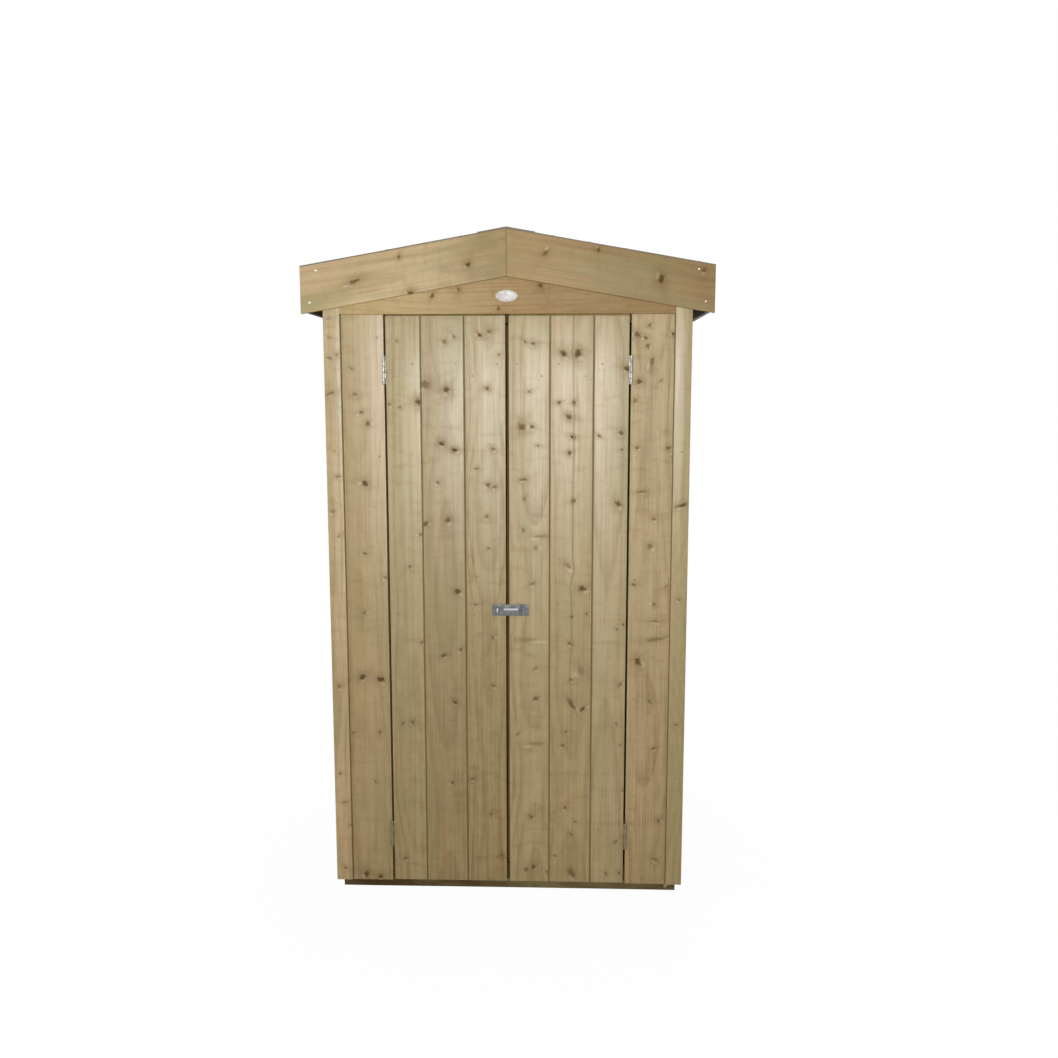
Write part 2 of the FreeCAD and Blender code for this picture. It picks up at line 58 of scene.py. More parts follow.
def soft_lamp(name, place, aim, size, power):
    data = bpy.data.lights.new(name, "AREA")
    data.shape = "DISK"
    data.size = size
    data.energy = power
    lamp = bpy.data.objects.new(name, data)
    lamp.location = place
    lamp.rotation_euler = (Vector(aim) - Vector(place)).to_track_quat("-Z", "Y").to_euler()
    scene.collection.objects.link(lamp)


soft_lamp("front_lamp", (0.1, -3.3, 1.56), (0, -0.1, 1.35), 1.2, 66)
soft_lamp("left_lamp", (-3.2, -0.6, 1.9), (0, 0, 0.9), 1.6, 24)
soft_lamp("right_lamp", (3.2, 0.2, 1.9), (0, 0, 0.9), 1.6, 20)
soft_lamp("back_lamp", (0.6, 3.3, 1.9), (0, 0, 1.0), 1.8, 50)


class Wire:
    """Output of a shader node. Reckoning with it adds Math nodes to its tree."""

    def __init__(self, node, output=0):
        self.socket = node.outputs[output]
        self.tree = node.id_data

    def __add__(self, other):
        return maths("ADD", self, other)

    def __radd__(self, other):
        return maths("ADD", other, self)

    def __sub__(self, other):
        return maths("SUBTRACT", self, other)

    def __mul__(self, other):
        return maths("MULTIPLY", self, other)

    def __truediv__(self, other):
        return maths("DIVIDE", self, other)


def feed(socket, value):
    """Link a socket to a wire, or set its value; a colour may come without its alpha."""
    if isinstance(value, Wire):
        value.tree.links.new(value.socket, socket)
    elif socket.type == "RGBA":
        socket.default_value = (*value, 1)
    else:
        socket.default_value = value


def add_node(tree, kind, *values, **settings):
    """New shader node, with its settings and its first inputs."""
    node = tree.nodes.new("ShaderNode" + kind)
    for label, value in settings.items():
        setattr(node, label, value)
    for socket, value in zip(node.inputs, values):
        feed(socket, value)
    return node


def maths(operation, *values):
    """Result of a Math node, or of a Vector Math node where the first wire is a vector."""
    first = next(value for value in values if isinstance(value, Wire))
    kind = "VectorMath" if first.socket.type == "VECTOR" else "Math"
    return Wire(add_node(first.tree, kind, *values, operation=operation))


def ramp(value, low, high, to_low=0.0, to_high=1.0):
    """Smooth step between two values."""
    numbers = (value, low, high, to_low, to_high)
    return Wire(add_node(value.tree, "MapRange", *numbers, interpolation_type="SMOOTHSTEP"))


world = bpy.data.worlds.new("studio")
scene.world = world
world.use_nodes = True
tree = world.node_tree
tree.nodes.clear()
rays = add_node(tree, "LightPath")
direct = maths("MAXIMUM", Wire(rays, "Is Camera Ray"), Wire(rays, "Is Glossy Ray"))
lit = add_node(tree, "Background", (1.0, 0.99, 0.97), 0.21)
seen = add_node(tree, "Background", (1, 1, 1), 1.0)
blend = add_node(tree, "MixShader", direct, Wire(lit), Wire(seen))
add_node(tree, "OutputWorld", Wire(blend))

reach = 9.0
corners = [(-reach, -reach, 0), (reach, -reach, 0), (reach, reach, 0), (-reach, reach, 0)]
ground = bpy.data.meshes.new("floor")
ground.from_pydata(corners, [], [(0, 1, 2, 3)])
floor = bpy.data.objects.new("floor", ground)
scene.collection.objects.link(floor)
pale = bpy.data.materials.new("pale floor")
pale.use_nodes = True
tree = pale.node_tree
tree.nodes.clear()
matt = add_node(tree, "BsdfDiffuse", (0.86, 0.86, 0.85))
glow = add_node(tree, "Emission")
spot = Wire(add_node(tree, "NewGeometry"), "Position")
away = Wire(add_node(tree, "VectorMath", spot, operation="LENGTH"), "Value")
share = Wire(add_node(tree, "LightPath"), "Is Camera Ray") * ramp(away, 0.35, 1.5, 0.97, 1.0)
blend = add_node(tree, "MixShader", share, Wire(matt), Wire(glow))
add_node(tree, "OutputMaterial", Wire(blend))
ground.materials.append(pale)

# Fixed boards beside the doors. Planed softwood matchboards with a tongue, a groove and
# eased edges, pressure treated, which leaves them greenish tan; the grain runs upright,
# flows round every knot and opens into long arches near the heart of the log.


def fed(node, **values):
    """The node, with inputs fed by name."""
    for label, value in values.items():
        feed(node.inputs[label], value)
    return node


def split(place):
    """The three numbers of a vector."""
    node = add_node(place.tree, "SeparateXYZ", place)
    return [Wire(node, index) for index in range(3)]


def vector_of(*values):
    tree = next(value.tree for value in values if isinstance(value, Wire))
    return Wire(add_node(tree, "CombineXYZ", *values))


def cloud(place, scale=1.0, detail=2.0, rough=0.5):
    """Soft noise between 0 and 1."""
    node = add_node(place.tree, "TexNoise", place)
    return Wire(fed(node, Scale=scale, Detail=detail, Roughness=rough), "Fac")


def tinted(amount, base, other, mode="MIX"):
    """Mix of two colours."""
    node = add_node(amount.tree, "Mix", data_type="RGBA", blend_type=mode)
    return Wire(fed(node, Factor=amount, A=base, B=other), "Result")


def open_group(name, **inputs):
    """New shader group, and wires from its inputs. A start of None stands for a vector, a
    triple for a colour."""
    tree = bpy.data.node_groups.new(name, "ShaderNodeTree")
    for label, start in inputs.items():
        kind = "Vector" if start is None else "Color" if isinstance(start, tuple) else "Float"
        socket = tree.interface.new_socket(
            name=label, in_out="INPUT", socket_type="NodeSocket" + kind,
        )
        if start is not None:
            socket.default_value = (*start, 1) if kind == "Color" else start
    given = tree.nodes.new("NodeGroupInput")
    return tree, [Wire(given, label) for label in inputs]


def close_group(tree, **results):
    """Give a shader group its outputs, of which the one called colour is a colour."""
    for label in results:
        kind = "Color" if label == "colour" else "Float"
        tree.interface.new_socket(name=label, in_out="OUTPUT", socket_type="NodeSocket" + kind)
    fed(tree.nodes.new("NodeGroupOutput"), **results)
    return tree


def knot_group():
    """One knot: bends the field that the rings follow, and adds to the masks of its core, of
    the stain round it and of the pale fleck beside it."""
    tree, wires = open_group(
        "knot", place=None, field=0, core=0, stain=0, fleck=0,
        across=0, along=0, radius=0.006, dark=0.6, aspect=1, tilt=0,
    )
    place, field, core, stain, fleck, across, along, radius, dark, aspect, tilt = wires
    x, _, z = split(place)
    du = x - across
    dw = z - along
    cosine = maths("COSINE", tilt)
    sine = maths("SINE", tilt)
    a = du * cosine + dw * sine
    b = (dw * cosine - du * sine) / aspect
    square = a * a + b * b
    rim = (cloud(place, 150, 3, 0.6) - 0.5) * radius
    distance = maths("SQRT", square) + rim * 2.2
    own_core = ramp(distance, radius * 1.2, radius * 0.45) * dark
    far = distance / (radius * 2.2)
    halo = maths("EXPONENT", far * far * -1.0)
    lift = b - maths("ABSOLUTE", a) * 0.35 + rim * 2.5
    flat = lift / (radius * 0.9)
    spread = a / (radius * 4.5)
    wing = maths("EXPONENT", (flat * flat + spread * spread) * -1.0) * 0.55
    own_stain = maths("MAXIMUM", halo, wing) * (dark * 0.7 + 0.15)
    side = maths("SINE", along * 97.0)
    beside = a - radius * 1.3 * side
    under = b + radius * 0.9
    near = maths("SQRT", beside * beside + under * under) + rim * 2.0
    size = radius * radius
    pull = size * du / (square + size * 0.3)
    return close_group(
        tree, field=field - pull, core=maths("MAXIMUM", core, own_core),
        stain=maths("MAXIMUM", stain, own_stain),
        fleck=maths("MAXIMUM", fleck, ramp(near, radius * 1.1, radius * 0.2)),
    )


def softwood_group():
    """Colour, roughness and relief of planed, treated softwood from a place on the board."""
    tree, wires = open_group(
        "softwood", place=None, field=0, core=0, stain=0, fleck=0,
        seed=0, heart=0, heart_depth=0.03, pith=0, ring=0.0045, wander=0.012, streak=1,
        pale=(0.493, 0.381, 0.213), brown=(0.280, 0.190, 0.084), tint=(0.336, 0.297, 0.140),
        tint_amount=0.5, weather=0, weather_from=1.4, weather_to=0.4, face=0, dullness=0.275,
    )
    place, field, core, stain, fleck, seed, heart, heart_depth, pith, ring = wires[:10]
    wander, streak, pale, brown, tint, tint_amount, weather = wires[10:17]
    weather_from, weather_to, face, dullness = wires[17:]
    _, depth_in, along = split(place)

    # Rings: cylinders round a wandering heart line, seen where the board's face cuts them.
    here = place + vector_of(seed * 7.3, seed * 3.1, 0)
    field = field + (cloud(here * (3.5, 3.5, 1.3), 1, 2) - 0.5) * wander
    field = field + (cloud(here * (22, 22, 7), 1, 2) - 0.5) * 0.0022
    sideways = field - heart
    swing = cloud(vector_of(seed, 0.3, along * 1.4), 1, 1)
    below = heart_depth + (swing - 0.5) * 0.035 + depth_in
    count = maths("SQRT", sideways * sideways + below * below) / ring
    part = maths("FRACT", count)
    late = ramp(part, 0.3, 0.9) * ramp(part, 1.0, 0.93)
    year = cloud(vector_of(count * 0.7, seed, 0), 1, 1)
    late = late * ramp(year, 0.3, 0.75, 0.25, 1.0)

    # Streaks along the grain, patches of treatment, marks across it and the pith.
    wide = cloud(here * (85, 85, 2), 1, 3)
    narrow = cloud(here * (330, 330, 6), 1, 3)
    fibre = cloud(here * (1700, 1700, 40), 1, 2)
    patch = cloud(here * (11, 11, 3.2), 1, 3, 0.6)
    dirt = cloud(here * (45, 45, 28), 1, 4, 0.65)
    lines = late * 0.5 + (wide - 0.5) * 1.25 + (narrow - 0.5) * 1.1 + (dirt - 0.5) * 0.6
    limit = add_node(tree, "Clamp", lines * streak + 0.12)
    colour = tinted(Wire(limit), pale, brown)
    colour = tinted(ramp(patch, 0.42, 0.72) * tint_amount, colour, tint)
    hue = cloud(here * (150, 150, 1.6), 1, 2)
    colour = tinted(ramp(hue, 0.50, 0.64) * 0.30, colour, (0.95, 0.72, 0.55), "MULTIPLY")
    colour = tinted(ramp(hue, 0.50, 0.36) * 0.30, colour, (0.80, 0.90, 0.66), "MULTIPLY")
    smear = ramp(cloud(here * (16, 16, 48), 1, 2, 0.5), 0.53, 0.75) * (streak * 0.38)
    colour = tinted(smear, colour, (0.72, 0.64, 0.50), "MULTIPLY")
    line = sideways / 0.0022
    line = maths("EXPONENT", line * line * -1.0) * pith * ramp(swing, 0.35, 0.6)
    colour = tinted(line, colour, (0.242, 0.143, 0.061))

    # Knots, then darkening along the grain, and painted shade in the joints.
    colour = tinted(stain * 0.74, colour, (0.198, 0.126, 0.042))
    colour = tinted(fleck * 0.38, colour, (0.682, 0.583, 0.396))
    end_grain = ramp(cloud(place, 420, 3, 0.7), 0.4, 0.75)
    colour = tinted(core, colour, tinted(end_grain, (0.060, 0.030, 0.007), (0.190, 0.108, 0.032)))
    # Colour made darker along the grain from weather_from towards weather_to.
    wear_and_painted_light = ramp(along, weather_from, weather_to) * weather * (dirt * 0.4 + 0.8)
    colour = tinted(wear_and_painted_light, colour, (0.60, 0.50, 0.34), "MULTIPLY")
    # Painted shade: the sunk faces of the V joints are darkened.
    sunk = face - maths("ABSOLUTE", depth_in)
    joint_shade = ramp(sunk, 0.0001, 0.0009) * ramp(sunk, 0.0040, 0.0030)
    colour = tinted(joint_shade * 0.62, colour, (0.160, 0.118, 0.053))
    return close_group(
        tree, colour=colour, roughness=dullness + narrow * 0.2 + (core + stain) * 0.3,
        height=late * 0.35 + fibre * 0.3 + narrow * 0.35 + core * 0.5,
    )


knot = knot_group()
softwood = softwood_group()
metre = 1000
knot_growth = 1.12


def place_on(material):
    return Wire(add_node(material.node_tree, "TexCoord"), "Object")


def new_finish(name):
    """New material, the inputs of its shader, and the place on the object."""
    material = bpy.data.materials.new(name)
    material.use_nodes = True
    return material, material.node_tree.nodes["Principled BSDF"].inputs, place_on(material)


def relief(inputs, height, strength, distance):
    bump = fed(add_node(height.tree, "Bump"), Strength=strength, Distance=distance, Height=height)
    feed(inputs["Normal"], Wire(bump))


def wood_material(
    name, knots=(), turn=(0, 0, 0), by_board=False, pitch=None, scatter=0.0, specular=0.5, **looks,
):
    """Softwood finish. looks sets inputs of the softwood group. knots are listed in
    millimetres: across, along, radius, darkness, length over width, tilt, of which the last
    may be left out. turn lays the grain along the timber; by_board or a pitch of (width,
    start) gives each board its own log. scatter is the share of places with a further knot."""
    material, inputs, place = new_finish(name)
    tree = material.node_tree
    if any(turn):
        mapping = add_node(tree, "Mapping", place, vector_type="POINT")
        mapping.inputs["Rotation"].default_value = turn
        place = Wire(mapping)
    if by_board:
        own = Wire(add_node(tree, "Attribute", attribute_name="board"), "Fac")
        middle = Wire(add_node(tree, "Attribute", attribute_name="middle"), "Fac")
    elif pitch:
        wide, start = pitch
        index = maths("FLOOR", (split(place)[0] - start) / wide)
        own = Wire(fed(add_node(tree, "TexWhiteNoise", noise_dimensions="1D"), W=index), "Value")
        middle = (index + 0.5) * wide + start
    if by_board or pitch:
        aside = own * 3.7
        place = place + vector_of(aside, 0, own * 9.1)
        looks["heart"] = middle + aside + (maths("FRACT", own * 17.0) - 0.5) * 0.13
    masks = dict(field=split(place)[0], core=0.0, stain=0.0, fleck=0.0)

    def add_knot(**shape):
        """Lead the masks through one more knot."""
        node = fed(add_node(tree, "Group", node_tree=knot), place=place, **masks, **shape)
        masks.update({label: Wire(node, label) for label in masks})

    for index, entry in enumerate(knots):
        usual = (5, 0.5, 0.6 + 0.12 * (index * 3 % 5), 0.4 * (index % 4 - 1.5))
        x, z, radius, dark, aspect, tilt = (*entry, *usual[len(entry) - 2:])
        add_knot(
            across=x / metre, along=z / metre, radius=knot_growth * radius / metre,
            dark=dark, aspect=aspect, tilt=tilt,
        )
    if scatter:
        columns, rows = 11.0, 5.5
        x, _, z = split(place)
        spread = vector_of(x * columns, z * rows, 0)
        cells = add_node(tree, "TexVoronoi", spread, voronoi_dimensions="2D")
        cells.inputs["Scale"].default_value = 1.0
        x, z, _ = split(Wire(cells, "Position"))
        size, chance, length = split(Wire(cells, "Color"))
        add_knot(
            across=x / columns, along=z / rows, radius=0.0035 + size * 0.0055,
            dark=ramp(chance, 1.0 - scatter, 1.05 - scatter) * 0.8, aspect=0.7 + length * 0.6,
        )
    grain = fed(add_node(tree, "Group", node_tree=softwood), place=place, **masks, **looks)
    feed(inputs["Base Color"], Wire(grain, "colour"))
    feed(inputs["Roughness"], Wire(grain, "roughness"))
    relief(inputs, Wire(grain, "height"), 0.35, 0.0005)
    inputs["Specular IOR Level"].default_value = specular
    return material


def join_rings(build, first, second):
    """Faces between two rings of corners, one of which may be a single point."""
    for index in range(max(len(first), len(second))):
        following = index + 1
        corners = []
        for ring, step in (first, index), (first, following), (second, following), (second, index):
            corner = ring[step % len(ring)]
            if corner not in corners:
                corners.append(corner)
        build.faces.new(corners)


def ease_edges(build, width, least):
    """Turn all faces outward, and round the edges where they meet at more than an angle."""
    bmesh.ops.recalc_face_normals(build, faces=build.faces)
    if width:
        closed = [edge for edge in build.edges if len(edge.link_faces) == 2]
        sharp = [edge for edge in closed if edge.calc_face_angle() > least]
        bmesh.ops.bevel(
            build, geom=sharp, offset=width, segments=2, profile=0.6, affect="EDGES",
            clamp_overlap=True,
        )


def smooth_mesh(build, name, degrees):
    """Mesh of a built part, shaded smooth across edges flatter than an angle."""
    mesh = bpy.data.meshes.new(name)
    build.to_mesh(mesh)
    build.free()
    for polygon in mesh.polygons:
        polygon.use_smooth = True
    mesh.set_sharp_from_angle(angle=math.radians(degrees))
    return mesh


thick = 0.012
roof_half = 0.54
roof_slope = 0.095 / roof_half
roof_angle = math.atan(roof_slope)
ridge_top = 1.815
deck_underside = ridge_top - thick / math.cos(roof_angle)


def under_roof(x):
    """Height of the underside of the roof boards."""
    return deck_underside - abs(x) * roof_slope


def timber(outlines, foot, head, lay="xyz", cuts=8, ease=0.0008, wander=0.0002, seed=1):
    """Mesh of one or more straight timbers from cross sections. lay says which way the two
    section axes and the length run; head may be a height or a rule that gives it."""
    dice = random.Random(seed)
    build = bmesh.new()
    mark = build.verts.layers.float.new("board")
    centre = build.verts.layers.float.new("middle")
    first, second, third = ("xyz".index(letter) for letter in lay)
    for outline in outlines:
        own = round(dice.uniform(0.05, 1.0), 3)
        (low, high), (near, far) = ((min(spots), max(spots)) for spots in zip(*outline))
        middle = (high + low) / 2 if high - low > far - near else -(far + near) / 2
        phase = [dice.uniform(0, 6.28) for _ in range(4)]
        rings = []
        for step in range(cuts + 1):
            ring = []
            for a, b in outline:
                place = [0.0, 0.0, 0.0]
                place[first] = a
                place[second] = b
                top = head(place[0]) if callable(head) else head
                length = foot + (top - foot) * step / cuts
                place[third] = length
                bend = wander if 0 < step < cuts else 0.0
                place[first] += bend * math.sin(length * 5.1 + phase[0]) * 0.5
                place[second] += bend * math.sin(length * 3.7 + phase[1])
                vertex = build.verts.new(place)
                vertex[mark] = own
                vertex[centre] = middle
                ring.append(vertex)
            rings.append(ring)
        for lower, upper in zip(rings, rings[1:]):
            join_rings(build, lower, upper)
        build.faces.new(list(reversed(rings[0])))
        build.faces.new(rings[-1])
    ease_edges(build, ease, 0.5)
    bmesh.ops.dissolve_degenerate(build, dist=0.000002, edges=build.edges)
    return smooth_mesh(build, "timber", 32)


def add_piece(name, mesh, material, slot, body="cabinet", *nodes):
    """Put a finished mesh into the scene as a piece that rides on a body, in place of the
    nodes given or else of the node of its name."""
    piece = bpy.data.objects.new(name, mesh)
    scene.collection.objects.link(piece)
    mesh.materials.append(material)
    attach(piece, body)
    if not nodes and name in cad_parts:
        nodes = (name,)
    if nodes:
        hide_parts(*nodes)


half_gap = 0.0003
v_cut = 0.0024
tongue_reach = 0.005
tongue_half = 0.002
groove_play = 0.0002


def matchboard(x0, x1, face, away, groove=True, tongue=True):
    """Section of a matchboard: face is the plane of its front, away the way its back lies."""
    low, high = thick / 2 - tongue_half, thick / 2 + tongue_half
    left = x0 + (half_gap if groove else 0)
    right = x1 - (half_gap if tongue else 0)
    points = [(left + (v_cut if groove else 0), 0), (right - (v_cut if tongue else 0), 0)]
    if tongue:
        tip = right + tongue_reach
        points += [(right, v_cut), (right, low), (tip, low), (tip, high), (right, high)]
    points += [(right, thick), (left, thick)]
    if groove:
        root = left + tongue_reach + groove_play
        points += [(left, high), (root, high), (root, low), (left, low), (left, v_cut)]
    return [(u, face + away * v) for u, v in points]


def flipped(outline):
    return [(-x, y) for x, y in outline]


front_face = -0.251
jamb = 0.3275
fixed_joint = 0.4425
wall_side = 0.473
board_foot = 0.024
left_fixed_wood = wood_material(
    "left fixed board",
    [
        (-415, 1459), (-406, 1391, 6, 0.5), (-391, 1343, 6, 0.6), (-373, 1314, 6, 0.6),
        (-385, 1153, 8, 0.9), (-389, 962, 6, 0.6), (-333, 896), (-393, 798, 6, 0.5),
        (-402, 617, 10, 0.95, 0.75, 0.5), (-352, 609, 10, 0.95, 0.75, -0.5), (-431, 456, 5, 0.6),
        (-356, 457, 5, 0.6), (-373, 314), (-404, 41, 7, 0.9), (-364, 33, 8, 0.9),
    ],
    seed=1, streak=0.85, heart=-0.405, heart_depth=0.032, ring=0.0042, weather=0.55,
    pale=(0.480, 0.370, 0.208), brown=(0.299, 0.201, 0.085), face=-front_face,
)
right_fixed_wood = wood_material(
    "right fixed board",
    [
        (342, 1546, 10, 0.6), (365, 1538, 5, 0.6), (375, 1571), (371, 1517, 5, 0.6),
        (436, 1548, 5, 0.7), (382, 1476, 5, 0.5, 2.5), (349, 1424, 6, 0.8), (406, 1426, 4, 0.5),
        (339, 1374, 5, 0.6), (346, 1250, 4, 0.6), (430, 1250, 6, 0.6),
        (360, 1132, 12, 0.5, 0.3, 0.05), (393, 1060, 6, 0.5), (384, 986, 7, 0.5),
        (342, 880, 5, 0.6), (431, 875), (397, 827), (403, 780), (400, 778, 18, 0.3, 0.22, -0.1),
        (405, 730, 26, 0.4, 0.22, 0.15), (356, 666, 7, 0.9, 1.6, 0.4), (390, 553, 6, 0.5),
        (400, 419, 6, 0.5), (420, 210), (411, 95, 10, 0.4, 0.5),
    ],
    dullness=0.46, seed=2, streak=1.25, heart=0.378, heart_depth=0.02, ring=0.0048, wander=0.02,
    weather=0.5, pale=(0.449, 0.348, 0.192), brown=(0.278, 0.186, 0.083), tint_amount=0.3,
    face=-front_face,
)
fixed_boards = [
    matchboard(jamb, fixed_joint, front_face, 1, False, True),
    matchboard(fixed_joint, wall_side, front_face, 1, True, False),
]
mesh = timber(fixed_boards, board_foot, under_roof, seed=3)
add_piece("right_front_boards", mesh, right_fixed_wood, "cladding_wood")
mesh = timber([flipped(outline) for outline in fixed_boards], board_foot, under_roof, seed=4)
add_piece("left_front_boards", mesh, left_fixed_wood, "cladding_wood")

# Door boards. Three matchboards to each door, the hinge-side one ripped narrower; each is
# cut from another log, so each has its own colour, heart and knots.
hands = ((-1, "left"), (1, "right"))
door_foot = 0.026
door_head = 1.596
door_edges = (0.0045, 0.1141, 0.2296, 0.322)
door_woods = {
    "left_hinge": (
        dict(
            seed=3, heart=-0.25, heart_depth=0.03, ring=0.004, weather=0.68,
            pale=(0.469, 0.392, 0.228), brown=(0.283, 0.215, 0.098),
        ),
        [
            (-293, 1532), (-315, 1364), (-286, 1356), (-236, 1372, 8, 0.8), (-235, 1014, 6, 0.5),
            (-266, 926), (-236, 715, 5, 0.6), (-291, 484, 5, 0.6), (-265, 487, 5, 0.6), (-292, 88),
        ],
    ),
    "left_middle": (
        dict(
            seed=4, heart=-0.165, heart_depth=0.024, ring=0.005, wander=0.022, weather=0.7,
            pale=(0.432, 0.345, 0.197), brown=(0.254, 0.183, 0.083), tint_amount=0.65,
        ),
        [
            (-140, 1542, 5, 0.6), (-166, 1529, 6, 0.5), (-218, 1417, 14, 0.55),
            (-162, 1403, 7, 0.8), (-175, 1260, 8, 0.9), (-143, 1244, 8, 0.9), (-187, 1156),
            (-221, 1044, 8, 0.7), (-161, 1055, 7, 0.7), (-136, 858, 7, 0.9), (-177, 678, 8, 0.8),
            (-130, 696, 5, 0.6), (-148, 548, 7, 0.9), (-156, 314, 5, 0.6),
        ],
    ),
    "left_inner": (
        dict(
            seed=5, streak=1.35, heart=-0.05, heart_depth=0.034, ring=0.0038, weather=0.74,
            pale=(0.446, 0.362, 0.203), brown=(0.279, 0.200, 0.087), tint_amount=0.4,
        ),
        [
            (-73, 1547, 7, 0.8), (-47, 1555, 6, 0.6), (-21, 1495, 4, 0.5), (-53, 1406, 5, 0.6),
            (-38, 1247), (-82, 1193), (-52, 1151, 6, 0.6), (-33, 1145, 6, 0.6), (-56, 1064),
            (-51, 977, 5, 0.6), (-90, 822), (-41, 730), (-39, 595), (-100, 326), (-47, 222),
            (-20, 101),
        ],
    ),
    "right_inner": (
        dict(
            seed=6, streak=1.2, heart=0.075, heart_depth=0.018, ring=0.0046, wander=0.02,
            weather=0.55, pale=(0.473, 0.374, 0.216), brown=(0.290, 0.209, 0.094),
            tint_amount=0.45,
        ),
        [
            (48, 1528, 5, 0.6), (69, 1523, 5, 0.6), (58, 1398), (39, 1306, 9, 0.7),
            (66, 1306, 5, 0.7), (82, 1255, 4, 0.6), (42, 1164, 9, 0.5, 0.5, 0.2),
            (47, 1113, 5, 0.4), (42, 1026, 5, 0.4), (92, 1011, 20, 0.35, 0.25, 0.08),
            (77, 980, 7, 0.4, 1, 0.6), (68, 881, 8, 0.5, 0.5, 0.6), (48, 725, 28, 0.3, 0.2, 0),
            (77, 644, 8, 0.4, 0.6, 0.7), (77, 559, 8, 0.7, 0.6, 0.7), (29, 458),
            (76, 430, 18, 0.35, 0.3, 0.1), (65, 217, 6, 0.7), (71, 69, 6, 0.7), (51, 60, 6, 0.6),
            (107, 55),
        ],
    ),
    "right_middle": (
        dict(
            seed=7, heart=0.176, heart_depth=0.006, ring=0.005, wander=0.006, pith=1.3,
            weather=0.58, pale=(0.464, 0.369, 0.204), brown=(0.282, 0.199, 0.083), tint_amount=0.4,
        ),
        [
            (151, 1497, 10, 0.85), (187, 1497, 10, 0.85), (138, 1369, 5, 0.7), (178, 1369, 4, 0.6),
            (164, 1332, 7, 0.8), (175, 1279, 6, 0.8), (167, 1236, 5, 0.8), (178, 1108, 6, 0.7),
            (163, 931, 12, 0.45, 0.5, -0.7), (204, 868, 12, 0.85, 0.6, 0), (175, 790, 4, 0.7),
            (216, 799, 4, 0.5), (170, 715, 7, 0.6), (203, 639, 12, 0.35), (174, 613, 5, 0.6),
            (175, 545, 5, 0.7, 4), (206, 531, 9, 0.8, 0.5, 0.7), (160, 465, 5, 0.6),
            (151, 425, 5, 0.6), (160, 245, 5, 0.6), (189, 204, 4, 0.6), (175, 166, 4, 0.6),
            (130, 103), (178, 53, 8, 0.6, 1.8),
        ],
    ),
    "right_hinge": (
        dict(
            seed=8, heart=0.27, heart_depth=0.036, ring=0.004, weather=0.5,
            pale=(0.466, 0.380, 0.225), brown=(0.299, 0.218, 0.101), tint_amount=0.5,
        ),
        [
            (244, 1282, 5, 0.6), (303, 1290, 6, 0.7), (306, 1245, 4, 0.6),
            (297, 1100, 6, 0.8, 1.6), (317, 1458, 8, 0.9), (297, 757, 4, 0.6), (314, 769, 4, 0.6),
            (308, 600, 8, 0.5, 0.5, 0.7), (300, 489, 4, 0.5), (309, 429, 4, 0.5), (320, 296),
            (301, 147, 7, 0.5, 0.5, 0.6), (310, 55, 5, 0.6), (274, 52, 4, 0.5),
        ],
    ),
}
for side, side_name in hands:
    for index, place in enumerate(("inner", "middle", "hinge")):
        start, end = door_edges[index:index + 2]
        outline = matchboard(start, end, front_face, 1, index > 0, index < 2)
        if side < 0:
            outline = flipped(outline)
        looks, knots = door_woods[side_name + "_" + place]
        name = side_name + "_door_" + place + "_board"
        mesh = timber([outline], door_foot, door_head, seed=10 + index)
        wood = wood_material(name, knots, face=-front_face, **looks)
        add_piece(name, mesh, wood, "cladding_wood", side_name + "_door")

# Corner strips. Planed square-edged strips nailed over the boards' ends, one facing the
# front or back and one facing the side at each corner, cut off under the roof.
strip_foot = 0.028
strip_inner = 0.4413
strip_outer = 0.485
strip_wide = strip_outer - strip_inner
strip_plane = -0.263
left_strip_wood = wood_material(
    "left corner strip",
    [
        (-470, 1588, 8, 0.35, 0.4, 0.2), (-468, 1540, 9, 0.3, 0.35),
        (-470, 1486, 8, 0.45, 0.5, -0.2), (-449, 1495, 5, 0.4), (-470, 1393, 11, 0.5, 0.45, 0.3),
        (-455, 1172, 6, 0.5), (-471, 1078, 6, 0.4), (-456, 1010, 6, 0.4), (-464, 592, 6, 0.5),
        (-468, 341), (-459, 257), (-444, 189, 4, 0.4), (-461, 64, 5, 0.6),
    ],
    seed=11, heart=-0.5, heart_depth=0.02, ring=0.0036, weather=0.5, pale=(0.568, 0.442, 0.270),
    brown=(0.357, 0.246, 0.118),
)
right_strip_wood = wood_material(
    "right corner strip",
    [(468, 1098, 14, 0.9, 0.35, 0.35), (463, 841), (461, 492)],
    seed=12, heart=0.42, heart_depth=0.025, ring=0.0036, weather=0.45, pale=(0.404, 0.328, 0.170),
    brown=(0.274, 0.202, 0.084), streak=0.8,
)
plain_strip_wood = wood_material(
    "rear corner strips",
    heart_depth=0.03, ring=0.0038, weather=0.5, tint_amount=0.5, pale=(0.483, 0.383, 0.218),
    brown=(0.297, 0.212, 0.095), by_board=True, scatter=0.5,
)


def box(x0, x1, z0, z1):
    """Outline of a rectangle."""
    return [(x0, z0), (x1, z0), (x1, z1), (x0, z1)]


strip_woods = {
    "left_front": left_strip_wood, "left_rear": plain_strip_wood,
    "right_front": right_strip_wood, "right_rear": plain_strip_wood,
}
for side, side_name in hands:
    for end, end_name in ((-1, "front"), (1, "rear")):
        corner = side_name + "_" + end_name
        outer, plane, face = side * strip_outer, -end * strip_plane, -end * front_face
        facing = box(side * strip_inner, outer, plane, face)
        flank = box(side * wall_side, outer, face, -end * (front_face + strip_wide))
        mesh = timber(
            [facing, flank], strip_foot, under_roof,
            ease=0.0016, wander=0.0003, seed=20 + side + end,
        )
        add_piece(corner + "_corner_strips", mesh, strip_woods[corner], "trim_wood")

# Gable boards and bargeboards. Planed boards with the grain lying along them: the gable
# board fills the triangle over the doors, and two bargeboards, mitred at the ridge,
# cover the ends of the roof boards.
gable_foot = 1.6
barge_deep = 0.12
depth_half = 0.275


